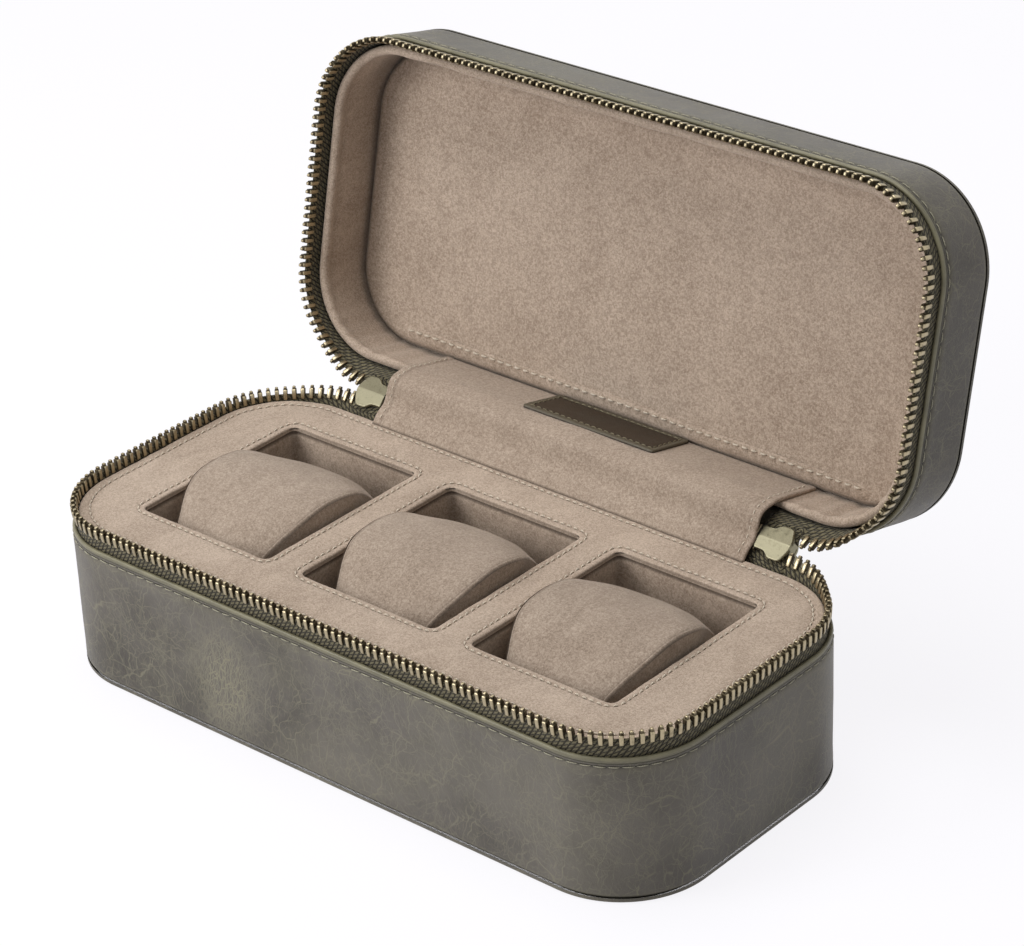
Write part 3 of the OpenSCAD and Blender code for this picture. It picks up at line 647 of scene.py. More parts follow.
def tape_finish():
    """Woven zip tape: slanting ropes of yarn, each pinched at even steps."""
    thick, pinched, slant = 1.22 * MM, 2.3 * MM, 0.4

    def build(r):
        c = colours()
        along, up = r.node("SeparateXYZ", {0: r.shaken(r.cloth(), 900.0, 0.0005)}).outputs[:2]
        rope = r.maths("DIVIDE", r.sum(up, 0.5, (along, -slant)), thick)
        row, within_row = r.maths("FLOOR", rope), r.maths("FRACT", rope)
        wave = r.maths("SINE", r.times(r.sum((along, 1 / pinched), (row, 0.5), (within_row, -0.45)), TAU))
        from_middle = r.maths("ABSOLUTE", r.sum((within_row, 2.0), -1.0))
        rib = r.times(r.range(wave, -0.95, -0.1), r.range(from_middle, 0.5, 1.0, 1.0, 0.0))
        yarn = r.noise(r.place(), 2600.0, 3.0, 0.7)
        tone = r.times(rib, r.range(yarn, 0.25, 0.65, 0.45, 1.0))
        return {"Base Color": r.mix(tone, c.tape_dark[:], c.tape[:]),
                "Normal": r.bump(r.sum((rib, 0.9), (yarn, 0.25)), 0.0004, 1.0)}
    return material("Woven tape", build, Roughness=0.8, Specular_IOR_Level=0.3, Sheen_Weight=0.1)


def metal_finish(name, tone, amount, rough):
    """Antique brass with patina in its hollows. On the sliders the same mask also holds painted reflection and
    highlight.
    """
    def build(r):
        c, where = colours(), r.place()
        marks = r.group(tarnish(), Place=where, Hollow=r.noted("hollow"), Amount=amount)
        streak = r.noise(r.stretched(where, (0.25, 1, 1)), 3200.0, 2.0, 0.6)
        return {"Base Color": r.mix(marks["Mask"], tone, c.patina[:]),
                "Roughness": r.range(marks["Mask"], 0.0, 1.0, rough, 0.62),
                "Normal": r.bump(r.sum(streak, marks["Height"]), 0.00002, 0.5)}
    return material(name, build, Metallic=1.0, Specular_IOR_Level=0.5)


def teeth_metal():
    return metal_finish("Antique brass teeth", colours().brass[:], 0.4, 0.34)


def slider_metal():
    return metal_finish("Pale brass", colours().plate[:], 0.22, 0.46)


def thread_finish(name, tone):
    """Twisted sewing thread."""
    def build(r):
        twist = r.node("TexWave", {"Vector": r.place(), "Scale": 900.0, "Distortion": 3.0},
                       bands_direction="DIAGONAL").outputs["Fac"]
        return {"Base Color": r.mix(twist, dimmed(tone, 0.55), tone[:]), "Normal": r.bump(twist, 0.00008, 0.8)}
    return material(name, build, Roughness=0.6, Specular_IOR_Level=0.35, Sheen_Weight=0.1)


def fibre_finish():
    """Grey-brown fibreboard."""
    def build(r):
        c = colours()
        fibre = r.noise(r.stretched(r.place(), (1, 1, 4)), 420.0, 5.0, 0.7)
        return {"Base Color": r.mix(fibre, dimmed(c.fibre, 0.6), c.fibre[:]), "Normal": r.bump(fibre, 0.0001, 0.6)}
    return material("Fibreboard", build, Roughness=0.85)


def foam_finish():
    """Dense foam with open cells."""
    def build(r):
        c = colours()
        bubbles = r.range(r.cells(r.place(), 1400.0), 0.0, 0.6)
        return {"Base Color": r.mix(bubbles, dimmed(c.foam, 0.7), c.foam[:]), "Normal": r.bump(bubbles, 0.0002, 0.7)}
    return material("Foam", build, Roughness=0.95)


# Pieces

# The base or the lid: its name, its height, what places its points, and the seed of its leather's waves
Tray = namedtuple("Tray", "name height place seed")


def trays():
    return Tray("base", BASE_H, as_base, 101), Tray("lid", sizes().lid_h, as_lid, 131)


def closed_up(mesh):
    """Turns every face of a mesh to look outwards."""
    bm = bmesh.new()
    bm.from_mesh(mesh)
    bmesh.ops.recalc_face_normals(bm, faces=bm.faces)
    bm.to_mesh(mesh)
    bm.free()
    return mesh


def tree_of(places):
    """For finding the nearest of some places in plan."""
    tree = KDTree(len(places))
    for i, (x, y) in enumerate(places):
        tree.insert((x, y, 0), i)
    tree.balance()
    return tree


def filled(rings, step, inside):
    """Triangles over a flat region, following its rings, with even points between them.
    Gives the flat points, the faces, and where each ring's points are among them."""
    rings = [np.asarray(ring, float)[:, :2] for ring in rings]
    low, high = rings[0].min(0), rings[0].max(0)
    grid = []
    for k, y in enumerate(np.arange(low[1], high[1], step * 0.87)):
        x = np.arange(low[0] + step * (0.25 + 0.5 * (k % 2)), high[0], step)
        grid.append(np.c_[x, np.full(len(x), y)])
    grid = np.concatenate(grid)
    grid = grid[inside(grid)]
    fixed = np.concatenate(rings)
    tree = tree_of(fixed)
    grid = np.array([p for p in grid if tree.find((p[0], p[1], 0))[2] > step * 0.55]).reshape(-1, 2)
    edges, starts, at = [], [], 0
    for ring in rings:
        n = len(ring)
        edges += [(at + i, at + (i + 1) % n) for i in range(n)]
        starts.append(np.arange(at, at + n))
        at += n
    flat = [Vector(p) for p in np.concatenate([fixed, grid]).tolist()]
    verts, _, faces, origin, _, _ = delaunay_2d_cdt(flat, edges, [], 0, 1e-7)
    where = {o: k for k, known in enumerate(origin) for o in known}
    points = np.array([v[:] for v in verts])
    faces = np.array(faces)
    faces = faces[inside(points[faces].mean(1))]
    return points, faces.tolist(), [np.array([where[i] for i in start]) for start in starts]


def slab(name, rings, step, inside, height, foot, skirts, place=as_base, notes=None):
    """A solid-looking pad over a flat region: its face at height(xy), and skirts at the rings that skirts
    names by their number, down to foot, which may be one height or one for each skirt."""
    flat, faces, own = filled(rings, step, inside)
    points = [np.c_[flat, height(flat)]]
    count = len(flat)
    for number, down in zip(skirts, np.broadcast_to(foot, len(skirts))):
        ring = own[number]
        n = len(ring)
        points.append(np.c_[flat[ring], np.full(n, down)])
        faces += [[ring[i], ring[(i + 1) % n], count + (i + 1) % n, count + i] for i in range(n)]
        count += n
    points = np.concatenate(points)
    mesh = mesh_of(name, place(points), [list(map(int, face)) for face in faces])
    spot = np.zeros(len(mesh.loops), np.int32)
    mesh.loops.foreach_get("vertex_index", spot)
    laid_flat(mesh, points[spot, :2] + 1)
    return note(mesh, **{key: np.r_[values(flat), np.zeros(count - len(flat))]
                         for key, values in (notes or {}).items()})


# The wall's section in millimetres: how far in it lies and how high, from its rim and then from its foot
WALL_RIM = np.array([(0.25, 0.1), (0.02, -0.3), (0.06, -0.7), (0.28, -1.05), (0.1, -1.35), (0.13, -1.7), (0.3, -1.95),
                     (0.34, -2.15), (0.28, -2.4), (0.08, -2.8), (-0.06, -3.5), (-0.08, -4.6)]) * MM
WALL_FOOT = np.array([(0, 3.8), (0.05, 2.9), (0.22, 2.3), (0.5, 1.95), (0.8, 1.75)]) * MM
# How far below the rim the groove beside the bead and the stitches' groove lie
RIM_GROOVE, STITCH_GROOVE = 1.05 * MM, 2.15 * MM


def tray_wall(tray):
    """Leather side wall of a tray: rim, stitch groove, soft wall and the joint above its outer face, with painted
    shade in the grooves and along the joint, wear just under the rim, and a painted highlight near the foot.
    """
    plan, s = Plan(), sizes()
    top = tray.height - s.bead
    middle = [(-0.04 * MM * (1 - t), (top - 6 * MM) * (1 - t) + 5 * MM * t) for t in np.linspace(0, 1, 13)]
    profile = np.r_[[(s.leather, top - 4 * MM), (s.leather, top - 0.4 * MM), (s.leather * 0.92, top)],
                    WALL_RIM + [0, top], middle, WALL_FOOT, [(s.leather, 1.6 * MM)]]
    wall = (profile[:, 1] < top - 3 * MM) & (profile[:, 1] > 3 * MM)

    def bulge(points):
        z = points[..., 2]
        soft = ripple(points, 46 * MM, tray.seed) * 0.16 * MM + ripple(points, 15 * MM, tray.seed + 1) * 0.05 * MM
        return soft * eased(z, 2.5 * MM, 9 * MM) * eased(-z, -(top - 2.8 * MM), -(top - 9 * MM)) * wall
    points = plan.swept(profile, bulge)
    # The lid's stretch of leather lies 2 m along the material, so that its veins are its own
    mesh = skin(tray.name + "_wall_leather", tray.place(points), around=True, across=True,
                u=plan.along + (2 if tray.name == "lid" else 0), v=profile[:, 1])
    z = points[..., 2]
    outer = np.broadcast_to(np.arange(len(profile)) > 2, z.shape)
    # Wear just under the rim, a faint paler band below the stitch groove, and a painted highlight near the foot
    rubbed_and_highlit = 0.9 * eased(z, top - 1.3 * MM, top - 0.9 * MM) + 0.5 * eased(-z, -3.4 * MM, -2.4 * MM)
    rubbed_and_highlit += 0.3 * eased(z, top - 6 * MM, top - 3 * MM) * eased(-z, -(top - 2.5 * MM), -(top - 3 * MM))
    # Painted shade in the groove beside the bead, in the stitch groove and along the joint at the foot
    seam = (0.75 * bell(z, top - RIM_GROOVE, 0.16 * MM) + 0.85 * bell(z, top - STITCH_GROOVE, 0.22 * MM)
            + eased(-z, -2.5 * MM, -2.15 * MM))
    note(mesh, worn=np.clip(rubbed_and_highlit, 0, 1) * outer, seam=np.clip(seam, 0, 1) * outer)
    return piece(closed_up(mesh), tray.name, leather_finish(), (tray.name + "_side_leather",))


def tray_face(tray):
    """Leather over a tray's outer face, its edge turned up into a slightly proud lip where it meets the wall, with a
    painted highlight along that lip.
    """
    s = sizes()
    rings = Plan().rings(0, (0, 0.1, 0.3, 0.6, 1.0, 1.5, 2.4, 4, 7))
    lip = 1.5 * MM

    def edge(xy):
        return depth_in(xy, WIDTH, DEPTH, s.corner)

    def height(xy):
        soft = ripple(xy, 60 * MM, tray.seed + 2) * 0.12 * MM + 0.14 * MM
        return 0.75 * MM * rolled(edge(xy) / lip, 1) ** 0.85 + np.maximum(soft, 0) * eased(edge(xy), 3 * MM, 24 * MM)
    # Painted highlight on the turned-up lip
    notes = {"worn": lambda xy: 0.3 * eased(-edge(xy), -2.2 * MM, -0.3 * MM),
             "seam": lambda xy: np.zeros(len(xy))}
    mesh = slab(tray.name + "_face_leather", rings, 3.2 * MM, lambda xy: edge(xy) > 1e-7, height,
                s.leather + 0.4 * MM, (0,), tray.place, notes)
    node = "base_bottom_leather" if tray.name == "base" else "lid_top_leather"
    return piece(closed_up(mesh), tray.name, leather_finish(), (node,))


def tray_bead(tray):
    """The leather's folded edge along the zip, left open for the spine."""
    plan, r = Plan(step=1.2 * MM), sizes().bead
    turn = np.linspace(-0.35, math.pi + 0.35, 13)
    profile = np.stack([r * (1 - 1.02 * np.cos(turn)), tray.height - 1.05 * r * (1 - np.sin(turn))], -1)
    profile = np.r_[profile, [[r, tray.height - 1.25 * r]]]
    points = plan.swept(profile, lambda p: ripple(p, 9 * MM, 11) * 0.03 * MM)[plan.open_to(SPINE_W)]
    mesh = skin(tray.name + "_rim_bead", tray.place(points), across=True, caps=True)
    return piece(closed_up(mesh), tray.name, rim_finish(), (tray.name + "_edge_bead",))


def rim_stitches(tray):
    """Thread along the leather's rim."""
    plan, s = Plan(), sizes()
    line = np.c_[plan.ring(TOUCH), np.full(len(plan.along), tray.height - s.bead - STITCH_GROOVE)]
    out = tray.place(line + np.c_[plan.out, np.zeros(len(plan.along))] * MM) - tray.place(line)
    mesh = stitch_row(tray.name + "_rim_stitches", [(tray.place(line), out, True)], s.rim_stitch, 0.84, slim=0.72)
    return piece(mesh, tray.name, thread_finish("Olive thread", colours().thread))


def zip_line(s):
    """Where the zip runs in plan, s round from the middle of the front: places and outward directions."""
    z = sizes()
    r = z.corner - z.leather - TOUCH - z.tape / 2
    hx, hy = WIDTH / 2 - z.corner, DEPTH / 2 - z.corner
    a = hx
    b, c, d = a + r * math.pi / 2, a + r * math.pi / 2 + 2 * hy, a + r * math.pi + 2 * hy
    t = np.abs(s)
    angle = np.radians(np.select([t < a, t < b, t < c, t < d],
                                 [-90, -90 + (t - a) / (b - a) * 90, 0 * t, (t - c) / (d - c) * 90], 90))
    x = np.select([t < a, t < d], [t, hx], hx - (t - d)) + r * np.cos(angle)
    y = np.select([t < b, t < c], [-hy, t - b - hy], hy) + r * np.sin(angle)
    side = np.where(np.asarray(s) < 0, -1.0, 1.0)
    most = math.atan2(HINGE_Y - DEPTH / 2, z.zip_gap / 2)
    rest = math.radians(9) - math.radians(5) * eased(t, a, b)
    lean = rest + (most - rest) * eased(t, c + 0.5 * (d - c), d)
    return np.stack([side * x, y], -1), np.stack([side * np.cos(angle), np.sin(angle)], -1), lean, d + hx


def zip_axes(s, h):
    """Foot, up, outward and forward directions of the zip at s."""
    place, out, lean, _ = zip_line(s)
    foot = np.c_[place, np.full(len(place), h)]
    flat = np.c_[out, np.zeros(len(out))]
    up = flat * np.sin(lean)[:, None] + np.array([0, 0, 1]) * np.cos(lean)[:, None]
    through = flat * np.cos(lean)[:, None] - np.array([0, 0, 1]) * np.sin(lean)[:, None]
    return foot, up, through, np.cross(up, through), lean


def row_end():
    """Last place that a tooth takes, just short of the slider's nose."""
    half, nose = zip_line(np.zeros(1))[3], SLIDER_HALF + 0.3 * MM
    return half - (SLIDER_X + nose + sizes().tooth_w / 2)


def tape_band(tray):
    """Woven zip tape, sewn behind the leather and leaning with its teeth round the rear corners."""
    z = sizes()
    end = zip_line(np.zeros(1))[3] - SPINE_W / 2 - TOUCH
    last = row_end() + z.tooth_w / 2
    s = np.r_[np.arange(-end, end, 1.3 * MM), end]
    s = np.sort(np.r_[s, [k * (last + d * MM) for k in (-1, 1) for d in (0.0, 0.4, 0.8, 1.2)]])
    foot, up, through, _, lean = zip_axes(s, tray.height)
    tip = z.zip_gap / 2 + z.tooth_reach
    full = (tip - 0.6 * z.tooth_len) / np.cos(lean)
    # Beyond the last tooth the tape runs into the slider, which sits nearer than the row's middle
    aim = np.array([HINGE_Y, HINGE_Z]) - 6.6 * MM * np.array([math.sin(OPEN_ANGLE / 2), math.cos(OPEN_ANGLE / 2)])
    run = aim - [DEPTH / 2 - z.leather - TOUCH - z.tape / 2, BASE_H]
    into = eased(np.abs(s), last, last + 1.2 * MM)
    turn = (lean + (math.atan2(*run) - lean) * into)[:, None]
    flat = unit(through * [1, 1, 0])
    up = flat * np.sin(turn) + np.array([0, 0, 1]) * np.cos(turn)
    through = flat * np.cos(turn) - np.array([0, 0, 1]) * np.sin(turn)
    top = full + (math.hypot(*run) - full) * into
    heights = np.array([-1, -0.5, -0.08, 0.05, 0.2, 0.35, 0.5, 0.65, 0.8, 0.92, 1.0])
    thick = np.array([1, 1, 1, 1, 1, 0.96, 0.94, 0.94, 1.0, 1.08, 0.8]) * z.tape / 2
    section = list(zip(-thick, heights)) + list(zip(thick[::-1], heights[::-1]))
    points = []
    for across, k in section:
        if k < 0:
            points.append(foot + np.array([0, 0, k * z.tape_sewn]) + flat * across)
        else:
            points.append(foot + up * (top * k)[:, None] + through * across)
    points = np.stack(points, 1)
    points[:, 3:-3] += through[:, None] * (ripple(s[:, None, None] * [[[1, 0, 0]]], 24 * MM, 5) * 0.1 * MM)[..., None]
    mesh = skin(tray.name + "_woven_tape", tray.place(points), across=True, caps=True, u=s,
                v=np.r_[heights, heights[::-1]] * tip * 0.63)
    return piece(closed_up(mesh), tray.name, tape_finish(), (tray.name + "_zip_tape",))


def tooth_template():
    """One metal tooth with its tip at the origin and its legs down: points and faces, and its hollows.
    x goes through the tape and y along the row. The sides that face the next tooth keep their patina."""
    z = sizes()
    w, t, l = 0.72 * MM, 0.86 * z.tooth_t / 2, z.tooth_len
    # Share of the length, thickness, width, and patina on the outer face
    rows = [(1.0, 0.66, 0.5, 0.6), (0.97, 1.06, 0.86, 0.25), (0.92, 1.14, 1.0, 0.05), (0.6, 1.16, 1.0, 0.0),
            (0.27, 1.14, 1.0, 0.0), (0.225, 1.0, 0.96, 0.0), (0.2, 0.66, 0.74, 0.95), (0.17, 0.6, 0.7, 0.9),
            (0.1, 0.64, 0.72, 0.75), (0.05, 0.6, 0.7, 0.6), (0.015, 0.5, 0.56, 0.3), (0.0, 0.36, 0.38, 0.2)]
    quarter = [(1, 0), (1, 0.62), (0.94, 0.88), (0.72, 1)]
    around = quarter + [(0, 1)] + [(-u, v) for u, v in quarter[:0:-1]] + [(-1, 0)]
    around += [(-u, -v) for u, v in quarter[1:]] + [(0, -1)] + [(u, -v) for u, v in quarter[:0:-1]]
    side = np.array([0.0 if abs(v) < 0.7 else 0.25 if abs(v) < 0.95 else 1.0 for _, v in around])
    n = len(around)
    points = np.array([[(x * t * u, y * w * v, -k * l) for u, v in around] for k, x, y, _ in rows]).reshape(-1, 3)
    hollow = np.concatenate([np.maximum(side * (1.0 if k > 0.02 else 0.3), mark) for k, _, _, mark in rows])
    faces = [[k * n + i, k * n + (i + 1) % n, (k + 1) * n + (i + 1) % n, (k + 1) * n + i]
             for k in range(len(rows) - 1) for i in range(n)]
    faces += [list(range(n))[::-1], [(len(rows) - 1) * n + i for i in range(n)]]
    return points, faces, hollow


def teeth(name, place, tips, axes, seed=2):
    """Many teeth in one mesh. axes are the outward, forward and upward directions at each tip."""
    points, faces, hollow = tooth_template()
    rng = np.random.default_rng(seed)
    through, forward, up = [(place(tips + way * MM) - place(tips)) / MM for way in axes]
    made, joined, marks = [], [], []
    for k, tip in enumerate(place(tips)):
        wobble = rng.normal(0, 0.012, 3)
        turned = points + np.cross(wobble, points)
        made.append(tip + turned[:, :1] * through[k] + turned[:, 1:2] * forward[k] + turned[:, 2:] * up[k])
        joined += [[i + k * len(points) for i in face] for face in faces]
        marks.append(np.clip(hollow + rng.normal(0, 0.05), 0, 1))
    return closed_up(note(mesh_of(name, np.concatenate(made), joined), hollow=np.concatenate(marks)))


def tooth_row(tray):
    """The teeth of one side of the zip. The lid's stand half a step on from the base's."""
    z, end = sizes(), row_end()
    count = round(end / z.tooth_pitch)
    steps = np.arange(-count, count + 1)
    if tray.name == "lid":
        steps = np.sign(steps) * (np.abs(steps) - 0.5)
        steps = steps[steps != 0]
    foot, up, through, forward, lean = zip_axes(steps * end / count, tray.height)
    tips = foot + up * ((z.zip_gap / 2 + z.tooth_reach) / np.cos(lean))[:, None]
    mesh = teeth(tray.name + "_metal_teeth", tray.place, tips, (through, forward, up))
    return piece(mesh, tray.name, teeth_metal(), (tray.name + "_zip_teeth",))


# Half of the slider's length, the gap between its plates, and their thickness
SLIDER_HALF = 6.3 * MM
SLIDER_GAP = 2.8 * MM
SLIDER_PLATE = 1.1 * MM


def side_name(side):
    return "left" if side < 0 else "right"


def at_slider(side):
    """Puts points drawn round the slider's own middle, nose towards +X, where the open zip holds it."""
    c, n = math.cos(OPEN_ANGLE / 2), math.sin(OPEN_ANGLE / 2)

    def place(points):
        p = np.asarray(points, float)
        x = side * (SLIDER_X + p[..., 0])
        return np.stack([x, HINGE_Y + p[..., 1] * c + p[..., 2] * n, HINGE_Z - p[..., 1] * n + p[..., 2] * c], -1)
    return place


def slider_outline():
    """Edge of a slider's plate: blunt nose, round shoulders, and curves that draw in to a narrower tail."""
    upper = np.array([(6.3, 0.9), (5.75, 2.6), (4.7, 4.75), (4.1, 5.4), (3.2, 5.72), (0.6, 5.72), (-0.3, 5.5),
                      (-1.0, 5.0), (-1.7, 4.4), (-2.6, 4.05), (-3.8, 3.95), (-5.9, 3.95), (-6.3, 3.6)]) * MM
    outline = np.r_[upper, upper[::-1] * [1, -1]]
    line = []
    for p, q in zip(outline, np.roll(outline, -1, 0)):
        n = max(1, round(math.dist(p, q) / (0.3 * MM)))
        line += [p + (q - p) * i / n for i in range(n)]
    return np.array(line)


def within(ring):
    """A test for which places lie inside a ring of points."""
    a, b = ring, np.roll(ring, -1, 0)

    def test(xy):
        above = (a[None, :, 1] > xy[:, None, 1]) != (b[None, :, 1] > xy[:, None, 1])
        rise = np.where(b[:, 1] == a[:, 1], 1e-12, b[:, 1] - a[:, 1])
        cut = a[None, :, 0] + (xy[:, None, 1] - a[None, :, 1]) / rise * (b[:, 0] - a[:, 0])
        return (above & (xy[:, None, 0] < cut)).sum(1) % 2 == 1
    return test


def joined(name, meshes):
    """One mesh of several."""
    bm = bmesh.new()
    for mesh in meshes:
        bm.from_mesh(mesh)
        bpy.data.meshes.remove(mesh)
    mesh = bpy.data.meshes.new(name)
    bm.to_mesh(mesh)
    bm.free()
    return mesh


def slider_plate(side, face, outline):
    """One plate of a slider: a low roof with a painted highlight along its ridge and rim and a painted darker
    reflection on one half, its back, and the lips at its tail.
    """
    place, inside, tree = at_slider(side), within(outline), tree_of(outline)
    base = SLIDER_GAP / 2 * face
    heart = outline.mean(0)
    rings = [outline + (heart - outline) * k for k in (0, 0.022, 0.05, 0.09, 0.15)]

    def edge(xy):
        return np.array([tree.find((x, y, 0))[2] for x, y in xy])

    def height(xy):
        risen = np.clip(edge(xy) / (0.26 * MM), 0, 1)
        roof = 0.62 * MM * (1 - np.clip(np.abs(xy[:, 1]) / (5.8 * MM), 0, 1)) * risen
        return base + face * (SLIDER_PLATE * (0.62 + 0.16 * risen) + roof)

    # Patina with painted light: a little patina all over, a painted darker reflection on one half of the roof, and a
    # painted highlight along the rim and the ridge
    def hollow(xy):
        rubbed_and_highlit = 0.6 * eased(-edge(xy), -0.34 * MM, -0.1 * MM) + 0.7 * bell(xy[:, 1], 0, 0.16 * MM)
        return 0.12 + 0.34 * eased(xy[:, 1], -0.3 * MM, 0.3 * MM) - rubbed_and_highlit
    ring = outline[::-1] * 0.999
    back = np.c_[ring[:, 0], np.full(len(ring), base), ring[:, 1]]
    made = [slab("plate", rings, 0.42 * MM, inside, height, base, (0,), lambda p: place(p[..., [0, 2, 1]]),
                 {"hollow": hollow}),
            mesh_of("back", place(back), [list(range(len(ring)))])]
    for up in (-1, 1):
        box = [(x, base - face * k, up * w) for x in (-6.2 * MM, -4.2 * MM) for k in (-0.05 * MM, 0.7 * MM)
               for w in (3.2 * MM, 3.8 * MM)]
        made.append(mesh_of("lip", place(box), [[0, 1, 3, 2], [4, 6, 7, 5], [0, 4, 5, 1], [2, 3, 7, 6],
                                                [0, 2, 6, 4], [1, 5, 7, 3]]))
    return made


def slider(side):
    """A slider: two ridged plates, the wedge between them and the bail that holds the pull."""
    node, place, outline = "slider_" + side_name(side), at_slider(side), slider_outline()
    made = slider_plate(side, -1, outline) + slider_plate(side, 1, outline)
    gap = SLIDER_GAP / 2 + 0.2 * MM
    nose = SLIDER_HALF - 0.2 * MM
    wedge = np.array([(nose - 4.2 * MM, 0.0), (nose - 2.4 * MM, 1.0 * MM), (nose - 0.3 * MM, 2.1 * MM),
                      (nose, 1.9 * MM), (nose + 0.05 * MM, 0.0)])
    wedge = np.r_[wedge, wedge[-2:0:-1] * [1, -1]]
    walls = np.stack([np.c_[wedge[:, 0], np.full(len(wedge), y), wedge[:, 1]] for y in (-gap, gap)])
    made.append(skin("wedge", place(walls), across=True, caps=True))
    turn = np.linspace(0.28, math.pi - 0.28, 17)
    way = np.stack([np.cos(turn), np.sin(turn), 0 * turn], -1)
    arch = 3.5 * MM * way + [0, SLIDER_GAP / 2 + SLIDER_PLATE - 1.2 * MM, 0]
    # The bail's section in millimetres: how far it stands out from the arch, and how far to the side
    bail = np.array([(0.3, -1.1), (0.5, -0.95), (0.5, 0.95), (0.3, 1.1), (-0.3, 1.1), (-0.5, 0.95), (-0.5, -0.95),
                     (-0.3, -1.1)]) * MM
    loop = arch[:, None] + way[:, None] * bail[:, :1] + [0, 0, 1] * bail[:, 1:]
    made.append(skin("bail", place(loop), across=True, caps=True))
    for mesh in made:
        if "hollow" not in mesh.attributes:
            note(mesh, hollow=np.zeros(len(mesh.vertices)))
    mesh = closed_up(joined(node + "_body", made))
    return sharp(piece(mesh, node, slider_metal(), (node,)), 38)


def sharp(obj, degrees):
    """Keeps edges that turn by more than this crisp in the shading."""
    obj.data.set_sharp_from_angle(angle=math.radians(degrees))
    return obj


def zip_end(side):
    """The last closed teeth behind a slider's tail and the stop that ends the zip, and the tape they hold."""
    z, place, name = sizes(), at_slider(side), "zip_end_" + side_name(side)
    body = "slider_" + side_name(side)
    first = -SLIDER_HALF - z.tooth_w / 2 - 0.3 * MM
    # Two pairs of teeth, the lid's in front of the base's by half a step
    ups = np.tile([(0, 0, 1.0), (0, 0, -1.0)], (2, 1))
    tips = np.array([(first - k / 2 * z.tooth_pitch, 0, up[2] * z.tooth_reach) for k, up in enumerate(ups)])
    forward = np.tile([1.0, 0, 0], (len(tips), 1))
    metal = teeth("teeth", place, tips, (np.cross(forward, ups), forward, ups), seed=7)
    a = np.arange(16) * TAU / 16
    form = np.stack([np.sign(f) * np.abs(f) ** 0.4 for f in (np.cos(a), np.sin(a))], -1)
    stop_x = first - 2 * z.tooth_pitch - z.tooth_w / 2
    rings = []
    for k, share in ((-1.0, 0.72), (-0.93, 0.9), (-0.8, 1.0), (0.8, 1.0), (0.93, 0.9), (1.0, 0.72)):
        rings.append(np.c_[stop_x + MM * form[:, 0] * share, z.tooth_t / 2 * form[:, 1] * share,
                           np.full(len(a), k * 0.7 * z.tooth_len)])
    stop = closed_up(skin("stop", place(rings), across=True, caps=True))
    note(stop, hollow=np.zeros(len(stop.vertices)))
    piece(closed_up(joined(name + "_metal", [metal, stop])), body, teeth_metal(), (name,))
    steps = np.linspace(0.58 * z.tooth_len - z.tooth_reach, 6.5 * MM, 8)
    x = np.linspace(-SLIDER_HALF - 1.3 * MM, SLIDER_HALF - 0.2 * MM, 14)
    scraps = []
    for up in (-1, 1):
        grid = [[(at, -z.tape / 2, up * k) for k in steps] + [(at, z.tape / 2, up * k) for k in steps[::-1]]
                for at in x]
        scraps.append(closed_up(skin("scrap", place(grid), across=True, caps=True, u=x, v=np.r_[steps, steps[::-1]])))
    return piece(joined(name + "_tape", scraps), body, tape_finish())


def pull(side):
    """Soft edges and brass for a pull tab, which stays the CAD's own."""
    made = frame["nodes"]["pull_" + side_name(side)]
    made.modifiers.new("Join", "WELD").merge_threshold = 0.002 * MM
    edge = made.modifiers.new("Soft edges", "BEVEL")
    edge.width, edge.segments, edge.limit_method = 0.28 * MM, 3, "ANGLE"
    edge.angle_limit = math.radians(35)
    dressed(("pull_" + side_name(side),), slider_metal())


def well_room(side, wall):
    """The middle of a well in X and Y, and its width and depth inside walls of that thickness."""
    a, b = WELLS[side]
    return (a.x + b.x) / 2, (a.y + b.y) / 2, b.x - a.x - 2 * wall, b.y - a.y - 2 * wall


# Thickness of a well's lining, and the radius of the panel's corners round it
LINING, WELL_R = 1.2 * MM, 2.2 * MM
# How far from the panel's outline and from a well its stitches lie
PANEL_STITCH, WELL_STITCH = 3.8 * MM, 2.4 * MM


